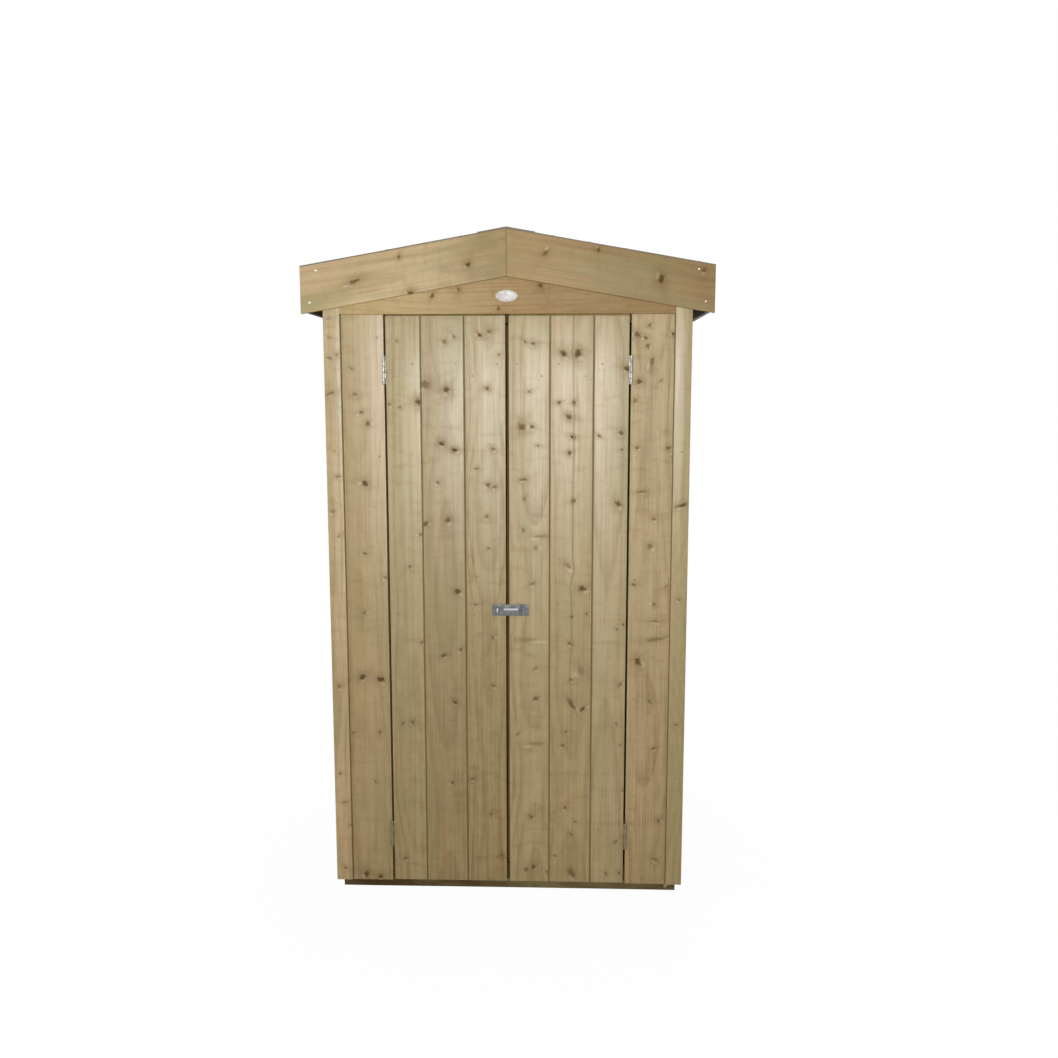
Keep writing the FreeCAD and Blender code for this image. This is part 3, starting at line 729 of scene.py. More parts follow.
def prism(build, near, far):
    """Solid between two outlines that have the same number of corners."""
    near = [build.verts.new(place) for place in near]
    far = [build.verts.new(place) for place in far]
    build.faces.new(near)
    build.faces.new(list(reversed(far)))
    join_rings(build, far, near)


def cut_sheet(outline, y0, y1):
    """Board cut to an outline seen from the front, between two planes, with eased edges."""
    build = bmesh.new()
    prism(build, [(x, y0, z) for x, z in outline], [(x, y1, z) for x, z in outline])
    ease_edges(build, 0.0016, 0.0)
    return smooth_mesh(build, "board", 32)


lying = (0, math.radians(-90), 0)
# The gable board's darkening towards the right is painted shade.
gable_wood = wood_material(
    "gable board",
    [(-1647, -195, 6, 0.8), (-1662, -126), (-1671, 88, 5, 0.7), (-1613, -22, 4, 0.6)],
    seed=13, dullness=0.5, streak=0.8, heart=-1.55, heart_depth=0.04, ring=0.0046, wander=0.02,
    weather=0.95, weather_from=-0.34, weather_to=0.12, tint_amount=0.35,
    pale=(0.508, 0.381, 0.186), brown=(0.336, 0.222, 0.087), turn=lying,
)
rear_gable_wood = wood_material(
    "rear gable board",
    seed=14, dullness=0.5, heart=-1.64, heart_depth=0.03, ring=0.0046, wander=0.02,
    pale=(0.450, 0.330, 0.162), brown=(0.298, 0.190, 0.074), turn=lying, scatter=0.35,
)
gable_outline = [
    (-strip_inner, gable_foot), (strip_inner, gable_foot), (strip_inner, under_roof(strip_inner)),
    (0, under_roof(0)), (-strip_inner, under_roof(strip_inner)),
]
front_gable = cut_sheet(gable_outline, strip_plane, front_face)
add_piece("front_gable_board", front_gable, gable_wood, "trim_wood")
rear_gable = cut_sheet(gable_outline, -front_face, -strip_plane)
add_piece("rear_gable_board", rear_gable, rear_gable_wood, "trim_wood")

barge_looks = {
    "left": (
        dict(
            seed=15, dullness=0.5, streak=0.75, heart_depth=0.03, ring=0.005, wander=0.03,
            weather=0.7, weather_from=0.07, weather_to=0.28, tint_amount=0.7,
            pale=(0.548, 0.414, 0.235), brown=(0.347, 0.237, 0.109),
        ),
        [
            (-280, 1743, 5, 0.7), (-99, 1724, 6, 0.8), (-398, 1682, 5.5, 0.75, 3),
            (-251, 1651, 7, 0.8),
        ],
    ),
    # The right bargeboard's darker colour is painted shade.
    "right": (
        dict(
            seed=16, dullness=0.5, streak=0.75, heart_depth=0.035, ring=0.005, wander=0.03,
            weather=0.5, weather_from=-0.24, weather_to=0.02, tint_amount=0.6,
            pale=(0.364, 0.251, 0.110), brown=(0.228, 0.141, 0.053),
        ),
        [(101, 1753, 8, 0.6), (237, 1760, 5, 0.6), (400, 1686, 11, 0.8), (510, 1708, 5, 0.6)],
    ),
}
eave_top = ridge_top - roof_half * roof_slope
mitre_gap = 0.0001
for side, side_name in hands:
    outline = [
        (side * mitre_gap, ridge_top), (side * roof_half, eave_top),
        (side * roof_half, eave_top - barge_deep), (side * mitre_gap, ridge_top - barge_deep),
    ]
    turn_angle = math.radians(-90) - side * roof_angle
    turning = Matrix.Rotation(turn_angle, 3, "Y")
    looks, knots = barge_looks[side_name]
    turned_knots = []
    for x, z, *shape in knots:
        spot = turning @ Vector((x, 0, z))
        turned_knots.append((spot.x, spot.z, *shape))
    middle = turning @ Vector((side * roof_half / 2, 0, ridge_top - 0.1))
    looks.update(heart=middle.x + 0.02, turn=(0, turn_angle, 0))
    wood = wood_material(side_name + " bargeboard", turned_knots, **looks)
    front_mesh = cut_sheet(outline, -depth_half, strip_plane)
    add_piece(side_name + "_front_bargeboard", front_mesh, wood, "trim_wood")
    rear_wood = wood_material(side_name + " rear bargeboard", scatter=0.3, **looks)
    rear_mesh = cut_sheet(outline, -strip_plane, depth_half)
    add_piece(side_name + "_rear_bargeboard", rear_mesh, rear_wood, "trim_wood")

# Side and back walls. The same matchboards nailed upright over the frames, each board a
# different piece of timber, standing on the ends of the bearers at the sides.
cover = 0.115
wall_looks = dict(
    heart_depth=0.028, ring=0.0044, wander=0.018, weather=0.55, tint_amount=0.5,
    pale=(0.483, 0.379, 0.209), brown=(0.292, 0.207, 0.091), by_board=True, scatter=0.45,
)
rear_wood = wood_material("wall boards", face=-front_face, **wall_looks)
facing_sideways = (0, 0, math.radians(90))
side_wood = wood_material("side wall boards", face=wall_side, turn=facing_sideways, **wall_looks)
side_edges = [-0.239, -1.5 * cover, -0.5 * cover, 0.5 * cover, 1.5 * cover, 0.239]
for side, side_name in hands:
    outlines = []
    for index in range(5):
        start, end = side_edges[index:index + 2]
        section = matchboard(start, end, side * wall_side, -side, index > 0, index < 4)
        outlines.append([(face, u) for u, face in section])
    mesh = timber(outlines, strip_foot, under_roof, seed=31 + side)
    add_piece(side_name + "_wall_boards", mesh, side_wood, "cladding_wood")
rear_edges = [-wall_side] + [(index - 3.5) * cover for index in range(8)] + [wall_side]
outlines = []
for index in range(9):
    start, end = rear_edges[index:index + 2]
    outlines.append(matchboard(start, end, -front_face, -1, index > 0, index < 8))
mesh = timber(outlines, board_foot, under_roof, seed=35)
add_piece("rear_wall_boards", mesh, rear_wood, "cladding_wood")

# Frames behind the boards. Sawn posts, rails, ledges and stops, nailed together and to the
# boards; their shapes come from the construction, with worn arrises on all but the posts.
# Dark lines on the rails behind the door gaps are painted shade of the gaps, and the meeting strip
# is painted dark for the same shade.
sawn = dict(
    dullness=0.55, heart_depth=0.03, ring=0.004, streak=1.1, tint_amount=0.5,
    pale=(0.482, 0.375, 0.213), brown=(0.291, 0.202, 0.090), scatter=0.3,
)
doorway_sawn = dict(sawn, pale=(0.50, 0.36, 0.17), brown=(0.30, 0.195, 0.075))
front_to_back = (math.radians(90), 0, 0)


def dress_timber(finish, *names, eased=True):
    """Give kept timbers their finish, and slightly worn edges where they stand alone."""
    for name in names:
        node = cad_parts[name]
        node.data.materials.clear()
        node.data.materials.append(finish)
        if not eased:
            continue
        joined = node.modifiers.new("joined faces", "WELD")
        joined.merge_threshold = 0.00001
        arris = node.modifiers.new("arris", "BEVEL")
        arris.width = 0.0008
        arris.segments = 2
        arris.limit_method = "ANGLE"
        arris.angle_limit = math.radians(40)


def overlay(material, amount, colour, mode="MIX"):
    """Lay a colour over the one that a finish has."""
    base = material.node_tree.nodes["Principled BSDF"].inputs["Base Color"]
    under = base.links[0]
    under = Wire(under.from_node, under.from_socket.name)
    feed(base, tinted(amount, under, colour, mode))


gap_shade_colour = (0.040, 0.023, 0.007)
standing_wood = wood_material("sawn upright timber", **sawn)
crossing_wood = wood_material("sawn timber across", turn=lying, **sawn)
deep_wood = wood_material("sawn timber front to back", turn=front_to_back, **sawn)
dress_timber(standing_wood, "left_rear_posts", "right_rear_posts", eased=False)
dress_timber(crossing_wood, "rear_wall_rails", "left_door_ledges", "right_door_ledges")
dress_timber(deep_wood, "left_wall_rails", "right_wall_rails", "ridge_beam")
post_wood = wood_material("doorway posts", **doorway_sawn)
dress_timber(post_wood, "left_front_posts", "right_front_posts", eased=False)
door_rail_wood = wood_material("doorway rails", turn=lying, specular=0.15, **doorway_sawn)
# Painted shade: dark lines on the rails where they lie behind the gaps at the middle and at the
# jambs.
place = place_on(door_rail_wood)
ragged = (cloud(place, 70, 3, 0.6) - 0.5) * 0.007
from_centre = maths("ABSOLUTE", split(place)[0])
from_jamb = maths("ABSOLUTE", from_centre - (jamb - 0.0015))
centre_gap_shade = ramp(from_centre + ragged, 0.0085, 0.0035)
jamb_gap_shade = ramp(from_jamb + ragged, 0.0065, 0.0025)
overlay(door_rail_wood, maths("MAXIMUM", centre_gap_shade, jamb_gap_shade) * 0.93, gap_shade_colour)
dress_timber(door_rail_wood, "front_top_rail", "front_bottom_rail", "front_header_board")
# Painted shade: the meeting strip's dark colour stands for the shade in the gap between the doors.
gap_shaded_strip_wood = wood_material(
    "meeting strip painted dark for shade",
    dullness=0.6, heart_depth=0.03, ring=0.004, tint_amount=0, seed=23, pale=(0.112, 0.067, 0.022),
    brown=(0.062, 0.035, 0.011), specular=0.15,
)
dress_timber(gap_shaded_strip_wood, "meeting_strip")

# Base. Three sawn bearers lie on the ground under the floor boards, their colour painted
# darker than the rest as painted shade, and their end grain shows at the sides. The floor
# boards' ends are painted dark as painted shade.
bearer_half = 0.47
bearer_wide = 0.034
bearer_high = 0.028
frame_front = -0.239
# Painted shade: the bearers' colours are set dark for the shade under the floor.
shaded_bearer_wood = wood_material(
    "bearers painted dark for shade",
    dullness=0.6, heart_depth=0.05, ring=0.004, streak=1.2, tint_amount=0.4, seed=21,
    pale=(0.078, 0.047, 0.015), brown=(0.046, 0.026, 0.007), turn=lying, scatter=0.4, specular=0.2,
)
outer_middle = -frame_front - bearer_wide / 2
middles = {"front": -outer_middle, "middle": 0, "rear": outer_middle}
for name, middle in middles.items():
    section = box(middle - bearer_wide / 2, middle + bearer_wide / 2, 0, bearer_high)
    mesh = timber(
        [section], -bearer_half, bearer_half, "yzx", cuts=10, ease=0.0012, wander=0.0004, seed=41,
    )
    add_piece(name + "_bearer", mesh, shaded_bearer_wood, "frame_wood")

inner_half = 0.461
floor_pitch = (2 * inner_half / 8, -inner_half)
floor_wood = wood_material(
    "floor boards", turn=front_to_back, pitch=floor_pitch, specular=0.15, **sawn,
)
# Painted shade: the floor boards' ends are darkened where they lie in shade behind the walls.
from_middle = maths("ABSOLUTE", split(place_on(floor_wood))[1])
overlay(floor_wood, ramp(from_middle, 0.2375, 0.2388) * 0.93, gap_shade_colour)
dress_timber(floor_wood, "floor_boards")

# Roof boards and eave fascias. Matchboards run from front to back on each slope under the
# felt, and a planed board under each eave hides their edge. The fascias' feet and inner faces
# are painted near black, as painted shade under the eaves.
deck_pitch = (cover * math.cos(roof_angle), 0)
deck_wood = wood_material("roof boards", turn=front_to_back, pitch=deck_pitch, **sawn)
dress_timber(deck_wood, "left_roof_boards", "right_roof_boards")

fascia_outer = 0.537
fascia_foot = 1.606
fascia_wood = wood_material(
    "eave fascias",
    dullness=0.5, heart_depth=0.03, heart=1.66, ring=0.0044, wander=0.02, seed=22,
    pale=(0.482, 0.386, 0.213), brown=(0.314, 0.224, 0.101), tint_amount=0.6,
    turn=(math.radians(90), 0, math.radians(90)), scatter=0.4,
)
# Painted shade: the fascias' inner faces and feet are darkened to near black.
x, _, z = split(place_on(fascia_wood))
inside = ramp(maths("ABSOLUTE", x), fascia_outer - 0.001, fascia_outer - 0.002)
eave_shade = maths("MAXIMUM", inside, ramp(z, fascia_foot + 0.0025, fascia_foot + 0.001))
overlay(fascia_wood, eave_shade * 0.95, (0.018, 0.018, 0.013))
for side, side_name in hands:
    outer = side * fascia_outer
    inner = side * (fascia_outer - thick)
    section = [
        (outer, fascia_foot), (outer, under_roof(outer)),
        (inner, under_roof(inner)), (inner, fascia_foot),
    ]
    mesh = timber(
        [section], strip_plane, -strip_plane, "xzy", cuts=10, ease=0.0012, wander=0.0003, seed=43,
    )
    add_piece(side_name + "_eave_fascia", mesh, fascia_wood, "trim_wood")

# Roofing felt and ridge cap. One sheet of green-black mineral felt lies over both slopes and
# turns down over the eaves; a second strip covers the ridge, and clout nails hold both.
felt_thick = 0.003
cap_half = 0.075
cap_thick = 0.002
turn_down = 0.03
felt_cells = 22


def felt_sheet(path, half_widths, deep, ripple, seed):
    """Sheet that follows a path across the roof, with the soft waves that felt keeps."""
    dice = random.Random(seed)
    waves = [(dice.uniform(9, 24), dice.uniform(9, 30), dice.uniform(0, 6.28)) for _ in range(5)]
    build = bmesh.new()
    layers = []
    for level in (0, 1):
        grid = []
        for (x, z, out_x, out_z), half in zip(path, half_widths):
            row = []
            for step in range(felt_cells + 1):
                y = -half + 2 * half * step / felt_cells
                lift = sum(math.sin(x * a + y * b + c) for a, b, c in waves) / 5
                lift = ripple * (lift - 0.5) if level else -deep
                row.append(build.verts.new((x + out_x * lift, y, z + out_z * lift)))
            grid.append(row)
        for row, following in zip(grid, grid[1:]):
            for j in range(felt_cells):
                build.faces.new((row[j], following[j], following[j + 1], row[j + 1]))
        layers.append(grid)
    rims = []
    for grid in layers:
        first, last = ([row[end] for row in grid] for end in (0, -1))
        rims.append(first + grid[-1][1:-1] + last[::-1] + grid[0][-2:0:-1])
    join_rings(build, *rims)
    bmesh.ops.recalc_face_normals(build, faces=build.faces)
    return smooth_mesh(build, "felt", 40)


def slope_path(half, above, steps):
    """Points and outward directions along the top of a sheet, from eave to eave."""
    path = []
    for index in range(-steps, steps + 1):
        x = half * index / steps
        path.append((x, ridge_top - abs(x) * roof_slope + above, 0.0, 1.0))
    return path


felt_path = slope_path(roof_half, felt_thick, 20)
eave_level = felt_path[0][1] - felt_thick
flap = []
for step in range(5):
    flap.append((-roof_half, eave_level - turn_down + (turn_down - 0.002) * step / 4, -1.0, 0.0))
felt_path = flap + felt_path + [(-x, z, -out_x, out_z) for x, z, out_x, out_z in reversed(flap)]
felt_halves = [-strip_plane] * 5 + [depth_half] * 41 + [-strip_plane] * 5

felt_finish, inputs, place = new_finish("mineral felt")
grit = cloud(place, 900, 3, 0.7)
wear_and_painted_light = ramp(cloud(place, 7, 4, 0.6), 0.45, 0.7)
speck = ramp(cloud(place, 2600, 1, 0.5), 0.62, 0.72)
cut_edge = ramp(maths("ABSOLUTE", split(place)[1]), depth_half - 0.0012, depth_half - 0.0002)
colour = tinted(ramp(grit, 0.38, 0.66), (0.020, 0.025, 0.019), (0.085, 0.10, 0.078))
colour = tinted(wear_and_painted_light * 0.4, colour, (0.10, 0.10, 0.08))
colour = tinted(speck, colour, (0.20, 0.21, 0.18))
feed(inputs["Base Color"], tinted(cut_edge, colour, (0.23, 0.20, 0.15)))
feed(inputs["Roughness"], 0.78 + grit * 0.25)
relief(inputs, grit, 0.8, 0.0009)

felt_mesh = felt_sheet(felt_path, felt_halves, felt_thick, 0.0006, 51)
add_piece("roof_felt", felt_mesh, felt_finish, "roofing_felt")
cap_path = slope_path(cap_half, felt_thick + cap_thick, 6)
cap_mesh = felt_sheet(cap_path, [depth_half] * 13, cap_thick, 0.0004, 52)
add_piece("ridge_cap", cap_mesh, felt_finish, "roofing_felt")

# Nails. Round galvanised heads driven just flush: bright new ones in the left bargeboard, greyed
# ones in the right, dull ones in the boards and strips, and broad clout nails through the felt.


def turned(build, profile, start, along, closed=False, sides=20):
    """Round part spun from pairs of radius and distance about a line."""
    axis = Vector(along).normalized()
    across = axis.orthogonal().normalized()
    third = axis.cross(across)
    rings = []
    for radius, distance in profile:
        centre = Vector(start) + axis * distance
        ring = []
        for index in range(sides if radius else 1):
            angle = 2 * math.pi * index / sides
            spoke = across * math.cos(angle) + third * math.sin(angle)
            ring.append(build.verts.new(centre + spoke * radius))
        rings.append(ring)
    for first, second in zip(rings, rings[1:]):
        join_rings(build, first, second)
    if closed:
        join_rings(build, rings[-1], rings[0])
        return
    for ring in (rings[0], rings[-1]):
        if len(ring) > 1:
            build.faces.new(ring)


def metal_piece(name, build, finish, slot, body="cabinet", *nodes, ease=0.0):
    """Put a built metal part into the scene, with a small ease on its sharp edges."""
    ease_edges(build, ease, 0.6)
    add_piece(name, smooth_mesh(build, name, 38), finish, slot, body, *nodes)


def zinc_group():
    """Zinc coating: spangle, fine scratches and dull bloom from a place on the metal."""
    tree, wires = open_group(
        "zinc coat", place=None, bright=(0.6, 0.62, 0.65), dull=(0.35, 0.37, 0.4), dullness=0.35,
        grain_size=220,
    )
    place, bright, dull, dullness, grain_size = wires
    cells = fed(add_node(tree, "TexVoronoi", place), Scale=grain_size)
    spangle = split(Wire(cells, "Color"))[0]
    bloom = cloud(place, 90, 4, 0.6)
    fine = cloud(place, 1500, 2, 0.6)
    amount = spangle * 0.25 + ramp(bloom, 0.35, 0.7, 0.0, 0.8)
    return close_group(
        tree, colour=tinted(amount, bright, dull), roughness=dullness + amount * 0.18,
        height=fine * 0.6 + bloom * 0.4,
    )


zinc_coat = zinc_group()


def metal_finish(name, bright, dull, dullness, metallic=0.9, proud=None):
    """Zinc-coated steel. proud = (level, colour, end) brightens what stands out beyond a level
    of -Y, as far as an end along X, as a painted highlight."""
    material, inputs, place = new_finish(name)
    coat = add_node(material.node_tree, "Group", node_tree=zinc_coat)
    fed(coat, place=place, bright=bright, dull=dull, dullness=dullness)
    colour = Wire(coat, "colour")
    if proud:
        level, wear_and_painted_light, end = proud
        along, out, _ = split(place)
        # Painted highlight on what stands proud.
        painted_highlight = ramp(out, level + 0.0008, level - 0.0006) * ramp(along, end, end - 0.002)
        colour = tinted(painted_highlight, colour, wear_and_painted_light)
    feed(inputs["Base Color"], colour)
    feed(inputs["Roughness"], Wire(coat, "roughness"))
    inputs["Metallic"].default_value = metallic
    relief(inputs, Wire(coat, "height"), 0.25, 0.0003)
    return material


head_radius = 0.0026
head_dome = [
    (head_radius, -0.0008), (head_radius, 0.0001), (head_radius * 0.85, 0.00035),
    (head_radius * 0.5, 0.0005), (0, 0.00055),
]
clout_dome = [(0.004, -0.0004), (0.004, 0.0003), (0.0035, 0.0007), (0.0018, 0.0010), (0, 0.0011)]
dull_nails = metal_finish("dull nails", (0.330, 0.281, 0.198), (0.209, 0.171, 0.110), 0.55, 0.4)
barge_finish = {
    -1: metal_finish("bright nails", (0.880, 0.880, 0.858), (0.660, 0.660, 0.638), 0.3),
    1: metal_finish("greyed nails", (0.550, 0.539, 0.506), (0.374, 0.363, 0.330), 0.4, 0.8),
}


def nail_heads(name, places, finish, dome, body="cabinet", *nodes):
    build = bmesh.new()
    for place, outward in places:
        turned(build, dome, place, outward, sides=14)
    metal_piece(name, build, finish, "nail_steel", body, *nodes)


forward = (0, -1, 0)
backward = (0, 1, 0)
for side, side_name in hands:
    barge_nails = []
    for x, z in ((0.497, 1.711), (0.516, 1.629)):
        for y, outward in ((-depth_half, forward), (depth_half, backward)):
            barge_nails.append(((side * x, y, z), outward))
    nail_heads(side_name + "_bargeboard_nails", barge_nails, barge_finish[side], head_dome)

board_levels = (0.058, 0.220, 0.560, 0.894, 1.226, 1.540, 1.660)
board_columns = (0.344, 0.436)
strip_levels = (0.05, 0.34, 0.79, 1.24, 1.69)
strip_middle = 0.463
flank_middle = 0.229
rail_levels = (0.057, 0.897, 1.690)
ledge_levels = (0.167, 0.811, 1.455)
edge_inset = 0.022
stagger = 0.016
cabinet_nails = []
for side in (-1, 1):
    for z in board_levels:
        for x in board_columns:
            cabinet_nails.append(((side * x, front_face, z), forward))
    for z in strip_levels:
        cabinet_nails.append(((side * strip_middle, strip_plane, z), forward))
        cabinet_nails.append(((side * strip_middle, -strip_plane, z), backward))
        for y in (-flank_middle, flank_middle):
            cabinet_nails.append(((side * strip_outer, y, z), (side, 0, 0)))
    for z in rail_levels:
        for start, end in zip(side_edges, side_edges[1:]):
            for y in (start + edge_inset, end - edge_inset):
                if abs(y) < 0.2:
                    cabinet_nails.append(((side * wall_side, y, z), (side, 0, 0)))
for z in rail_levels:
    for start, end in zip(rear_edges, rear_edges[1:]):
        for x in (start + edge_inset, end - edge_inset):
            if abs(x) < 0.43:
                cabinet_nails.append(((x, -front_face, z), backward))
nail_heads("cabinet_nails", cabinet_nails, dull_nails, head_dome, "cabinet", "frame_fixings")

door_nails = []
for level in ledge_levels:
    for start, end in zip(door_edges, door_edges[1:]):
        door_nails += [(start + edge_inset, level + stagger), (end - edge_inset, level - stagger)]
for side, side_name in hands:
    places = [((side * x, front_face, z), forward) for x, z in door_nails]
    door = side_name + "_door"
    nail_heads(door + "_nails", places, dull_nails, head_dome, door, door + "_fixings")

clouts = []
for side in (-1, 1):
    lean = Vector((side * math.sin(roof_angle), 0, math.cos(roof_angle)))
    for index in range(6):
        y = -0.24 + 0.096 * index
        clouts.append(((side * roof_half, y, eave_level - 0.018), (side, 0, 0)))
        x = side * (cap_half - 0.012)
        clouts.append(((x, y, ridge_top + felt_thick + cap_thick - abs(x) * roof_slope), lean))
    for index in range(5):
        x = side * (0.12 + 0.095 * index)
        for y in (-0.268, 0.268):
            clouts.append(((x, y, ridge_top + felt_thick - abs(x) * roof_slope), lean))
nail_heads("felt_clouts", clouts, dull_nails, clout_dome)

# Hinges. Four 75 mm butt hinges of zinc-plated steel stand with their knuckles proud of the
# boards; their leaves are screwed to the door edges and the fixed boards' edges. The lower
# pair is coloured darker and browner.
hinge_long = 0.075
hinge_levels = (0.164, 1.455)
hinge_x = jamb
hinge_y = -0.2555
knuckle_count = 5
knuckle_radius = 0.004
knuckle_play = 0.00015
pin_radius = 0.0015
leaf_thick = 0.0014
leaf_front = -0.2512
leaf_back = -0.221
link_front = -0.2532
link_back = -0.2508
wrap_inner = -0.2557
wrap_outer = -0.2571
wrap_side = 0.3250
door_side = 0.322
screw_y = -0.230
hinge_zinc = metal_finish(
    "bright zinc plate", (0.407, 0.402, 0.374), (0.275, 0.270, 0.248), 0.36, 0.6,
)
overlay(hinge_zinc, ramp(split(place_on(hinge_zinc))[2], 0.6, 0.25), (0.72, 0.60, 0.42), "MULTIPLY")
screw_zinc = metal_finish("zinc screws", (0.374, 0.374, 0.363), (0.242, 0.242, 0.237), 0.4, 0.7)


def plate(build, outline, flat, near, far):
    """Plate from an outline in the two axes named by flat, between two levels of the third."""
    first, second = ("xyz".index(letter) for letter in flat)
    third = 3 - first - second
    layers = []
    for level in (near, far):
        layer = []
        for a, b in outline:
            place = [0.0, 0.0, 0.0]
            place[first], place[second], place[third] = a, b, level
            layer.append(place)
        layers.append(layer)
    prism(build, *layers)


def tube(build, x, y, low, high, outer, inner):
    """Knuckle: a short tube standing upright, with rounded ends."""
    lip = outer * 0.12
    long = high - low
    profile = [
        (inner, 0), (outer - lip, 0), (outer, lip),
        (outer, long - lip), (outer - lip, long), (inner, long),
    ]
    turned(build, profile, (x, y, low), (0, 0, 1), closed=True, sides=28)


def arc(x, z, radius, start, sweep, steps):
    """Points along an arc; start and sweep are in degrees."""
    angles = [math.radians(start + sweep * step / steps) for step in range(steps + 1)]
    return [(x + radius * math.cos(angle), z + radius * math.sin(angle)) for angle in angles]


def rounded(x0, x1, z0, z1, radius, corners="abcd"):
    """Rectangle outline with some corners rounded: a lower left, b lower right, c upper right,
    d upper left."""
    outline = []
    for letter, (x, z), start in zip("abcd", box(x0, x1, z0, z1), (180, 270, 0, 90)):
        if letter not in corners:
            outline.append((x, z))
            continue
        cx = x + (radius if letter in "ad" else -radius)
        cz = z + (radius if letter in "ab" else -radius)
        outline += arc(cx, cz, radius, start, 90, 5)
    return outline


def slotted_screw(build, place, outward, turn):
    """Countersunk screw head with a straight slot."""
    radius, rise, floor, half_slot = 0.0027, 0.00025, -0.0005, 0.0004
    turned(build, [(radius, -0.0012), (radius, floor)], place, outward)
    axis = Vector(outward).normalized()
    across = axis.orthogonal().normalized()
    across.rotate(Matrix.Rotation(turn, 3, axis))
    third = axis.cross(across)
    inset = math.asin(half_slot / radius)
    for half in (0, math.pi):
        layers = []
        for level in (floor, rise):
            layer = []
            for step in range(10):
                angle = half + inset + (math.pi - 2 * inset) * step / 9
                spot = across * math.cos(angle) + third * math.sin(angle)
                layer.append(Vector(place) + spot * radius + axis * level)
            layers.append(layer)
        prism(build, *layers)


def knuckle_spans(bottom, long, count, first):
    """Heights of every second of a hinge's knuckles, with a little play between them."""
    step = long / count
    spans = []
    for index in range(first, count, 2):
        low = bottom + index * step + (knuckle_play if index else 0)
        high = bottom + (index + 1) * step - (knuckle_play if index < count - 1 else 0)
        spans.append((low, high))
    return spans


for side, side_name in hands:
    door = side_name + "_door"
    fixed, moving, fixed_screws, door_screws = (bmesh.new() for _ in range(4))
    dice = random.Random(60 + side)
    fixed_near, fixed_far = side * (hinge_x - leaf_thick), side * hinge_x
    near, far = side * door_side, side * (door_side + leaf_thick)
    link = box(fixed_near, fixed_far, link_front, link_back)
    wrap = [
        (near, link_back), (far, link_back), (far, wrap_inner), (side * wrap_side, wrap_inner),
        (side * wrap_side, wrap_outer), (near, wrap_outer),
    ]
    for level in hinge_levels:
        low, high = level - hinge_long / 2, level + hinge_long / 2
        leaf = rounded(leaf_front, leaf_back, low, high, 0.003, "bc")
        plate(fixed, leaf, "yz", fixed_near, fixed_far)
        plate(moving, leaf, "yz", near, far)
        for build, bridge, first in ((fixed, link, 0), (moving, wrap, 1)):
            for start, end in knuckle_spans(low, hinge_long, knuckle_count, first):
                tube(build, side * hinge_x, hinge_y, start, end, knuckle_radius, pin_radius)
                plate(build, bridge, "xy", start, end)
        for z in (level - 0.026, level, level + 0.026):
            slotted_screw(fixed_screws, (fixed_near, screw_y, z), (-side, 0, 0), dice.uniform(0, 3))
            slotted_screw(door_screws, (far, screw_y, z), (side, 0, 0), dice.uniform(0, 3))
    hinge = side_name + "_hinge_"
    metal_piece(hinge + "frame_leaves", fixed, hinge_zinc, "zinc_steel", ease=0.0002)
    metal_piece(hinge + "door_leaves", moving, hinge_zinc, "zinc_steel", door, ease=0.0002)
    metal_piece(hinge + "frame_screws", fixed_screws, screw_zinc, "nail_steel", ease=0.0001)
    metal_piece(hinge + "door_screws", door_screws, screw_zinc, "nail_steel", door, ease=0.0001)

pin_profile = [
    (0, -0.0002), (0.001, -0.0001), (pin_radius, 0.0004), (pin_radius, hinge_long),
    (0.0026, hinge_long), (0.0026, hinge_long + 0.0006), (0.0016, hinge_long + 0.0011),
    (0, hinge_long + 0.0012),
]
pins = bmesh.new()
for side in (-1, 1):
    for level in hinge_levels:
        turned(pins, pin_profile, (side * hinge_x, hinge_y, level - hinge_long / 2), (0, 0, 1))
metal_piece("hinge_pins", pins, screw_zinc, "zinc_steel")

# Hasp and staple. Galvanised steel: the leaf is screwed to the right door, and the strap, with
# a rib pressed along it, swings on a pin and closes over the staple's loop. The fronts of the
# rib and of the loop carry a painted highlight.
hasp_level = 0.808
hasp_low, hasp_high = 0.7925, 0.8235
hasp_x, hasp_y = 0.036, -0.2545
hasp_radius, hasp_bore = 0.0025, 0.0012
steel = 0.0015
leaf_plane = front_face - steel
strap_back = -0.2526
slot_left, slot_right = -0.0356, -0.0244
slot_low, slot_high = 0.7976, 0.8184
strap_left, strap_right = -0.0425, 0.033
rib_radius = 0.004
rib_left, rib_right = -0.012, 0.031
# The last argument paints a highlight on the rib, which stands proud of the strap.
hasp_zinc = metal_finish(
    "galvanised hasp", (0.165, 0.165, 0.171), (0.116, 0.114, 0.114), 0.5, 0.6,
    (-0.2550, (0.44, 0.45, 0.47), 0.0325),
)
# The last argument paints a highlight on the front of the staple's loop.
staple_zinc = metal_finish(
    "galvanised staple", (0.176, 0.176, 0.182), (0.121, 0.121, 0.121), 0.45, 0.7,
    (-0.2625, (0.40, 0.41, 0.43), 1.0),
)


def hasp_knuckles(build, first, x0, x1, near, far):
    """Every second knuckle of the hasp, each with a bridge of metal to its leaf or strap."""
    for low, high in knuckle_spans(hasp_low, hasp_high - hasp_low, 3, first):
        tube(build, hasp_x, hasp_y, low, high, hasp_radius, hasp_bore)
        plate(build, box(x0, x1, low, high), "xz", near, far)


build = bmesh.new()
plate(build, rounded(0.039, 0.0576, hasp_low, hasp_high, 0.002, "bc"), "xz", leaf_plane, front_face)
hasp_knuckles(build, 0, hasp_x, 0.0392, leaf_plane, front_face)
metal_piece("hasp_leaf", build, hasp_zinc, "zinc_steel", "right_door", ease=0.0002)

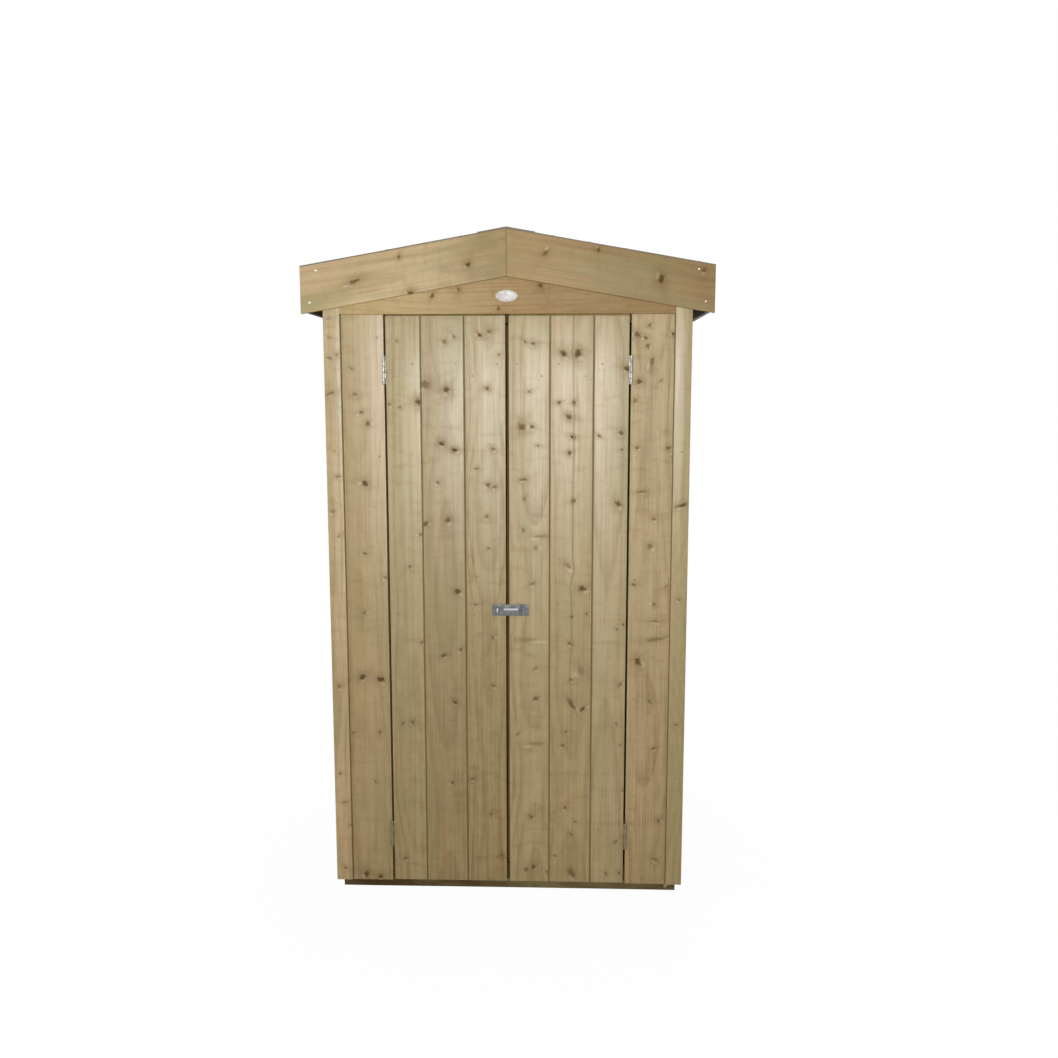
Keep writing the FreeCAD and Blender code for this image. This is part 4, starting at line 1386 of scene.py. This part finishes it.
build = bmesh.new()
outline = rounded(strap_left, strap_right, hasp_low, hasp_high, 0.006, "ad")
for half, slot_end in ((-1, slot_low), (1, slot_high)):
    points = [(x, z) for x, z in outline if (z - hasp_level) * half > 0]
    slot_edge = [
        (strap_right, hasp_level), (slot_right, hasp_level), (slot_right, slot_end),
        (slot_left, slot_end), (slot_left, hasp_level), (strap_left, hasp_level),
    ]
    points += slot_edge[::-half]
    plate(build, points, "xz", strap_back - steel, strap_back)
bmesh.ops.remove_doubles(build, verts=build.verts, dist=1e-6)
inside = []
for face in build.faces:
    if abs(face.calc_center_median().z - hasp_level) < 1e-5 and abs(face.normal.y) < 0.5:
        inside.append(face)
bmesh.ops.delete(build, geom=inside, context="FACES_ONLY")
hasp_knuckles(build, 1, strap_right - 0.0002, hasp_x, strap_back - steel, strap_back)
profile = [(0, 0)]
for step in range(1, 6):
    angle = math.radians(18 * step)
    profile.append((rib_radius * math.sin(angle), rib_radius * (1 - math.cos(angle))))
length = rib_right - rib_left
profile += [(radius, length - distance) for radius, distance in reversed(profile)]
rib = bmesh.new()
turned(rib, profile, (rib_left, strap_back, hasp_level + 0.002), (1, 0, 0), sides=28)
bmesh.ops.bisect_plane(
    rib, geom=[*rib.verts, *rib.edges, *rib.faces], plane_co=(0, strap_back - 0.0004, 0),
    plane_no=(0, 1, 0), clear_outer=True,
)
bmesh.ops.dissolve_degenerate(rib, dist=0.00001, edges=rib.edges)
bmesh.ops.holes_fill(rib, edges=rib.edges, sides=0)
rib_mesh = bpy.data.meshes.new("rib")
rib.to_mesh(rib_mesh)
rib.free()
build.from_mesh(rib_mesh)
metal_piece("hasp_strap", build, hasp_zinc, "zinc_steel", "hasp", ease=0.0002)

build = bmesh.new()
profile = [
    (0, -0.0006), (0.0012, -0.0005), (0.0017, 0), (0.0012, 0), (0.0012, 0.031), (0.0017, 0.031),
    (0.0012, 0.0315), (0, 0.0316),
]
turned(build, profile, (hasp_x, hasp_y, hasp_low), (0, 0, 1))
metal_piece("hasp_pin", build, staple_zinc, "zinc_steel", "right_door")

loop_front, loop_half, eye_half, corner = -0.267, 0.009, 0.005, 0.007
loop_root = front_face - 0.0005
low, high = hasp_level - loop_half, hasp_level + loop_half
loop_outline = [(loop_root, low)]
loop_outline += arc(loop_front + corner, low + corner, corner, 270, -90, 6)
loop_outline += arc(loop_front + corner, high - corner, corner, 180, -90, 6)
loop_outline += [(loop_root, high), (loop_root, hasp_level + eye_half)]
loop_outline += arc(loop_front + 0.004 + eye_half, hasp_level, eye_half, 90, 180, 12)
loop_outline.append((loop_root, hasp_level - eye_half))
build = bmesh.new()
plate(build, rounded(-0.042, -0.012, 0.794, 0.822, 0.003), "xz", leaf_plane, front_face)
plate(build, loop_outline, "yz", -0.029, -0.025)
metal_piece("staple", build, staple_zinc, "zinc_steel", "left_door", ease=0.0003)

hasp_screws = bmesh.new()
for x in (0.0436, 0.0526):
    for z in (0.798, 0.818):
        slotted_screw(hasp_screws, (x, leaf_plane, z), forward, x * 300 + z * 70)
metal_piece("hasp_screws", hasp_screws, staple_zinc, "nail_steel", "right_door", ease=0.0001)
staple_screws = bmesh.new()
smooth_head = [(0.0027, -0.001), (0.0027, 0), (0, 0.00005)]
for x in (-0.038, -0.016):
    for z in (0.799, 0.817):
        turned(staple_screws, smooth_head, (x, leaf_plane, z), forward)
metal_piece("staple_screws", staple_screws, staple_zinc, "nail_steel", "left_door")

# Bare oval plate. Thin pressed aluminium with a rolled rim and a slightly sunk, matt middle,
# held on the gable board by two small pins.
plate_level = 1.646
plate_wide, plate_high = 0.029, 0.015
satin = metal_finish("satin plate", (0.506, 0.479, 0.451), (0.429, 0.407, 0.380), 0.45, 0.25)
rim_profile = [
    (0, 0), (0, 0.0011), (0.0004, 0.0016), (0.0014, 0.0017), (0.0022, 0.0015), (0.0028, 0.0011),
    (0.0036, 0.00095), (0.009, 0.0010),
]
build = bmesh.new()
rings = []
for inset, rise in rim_profile:
    ring = []
    for index in range(48):
        angle = 2 * math.pi * index / 48
        x = (plate_wide - inset) * math.cos(angle)
        z = plate_level + (plate_high - inset) * math.sin(angle)
        ring.append(build.verts.new((x, strip_plane - rise, z)))
    rings.append(ring)
for first, second in zip(rings, rings[1:]):
    join_rings(build, first, second)
build.faces.new(rings[0])
build.faces.new(rings[-1])
for x in (-0.022, 0.022):
    start = (x, strip_plane - 0.0009, plate_level)
    turned(build, [(0.0011, 0), (0.0011, 0.0006), (0, 0.0009)], start, forward, sides=14)
metal_piece("oval_plate", build, satin, "plate_metal")
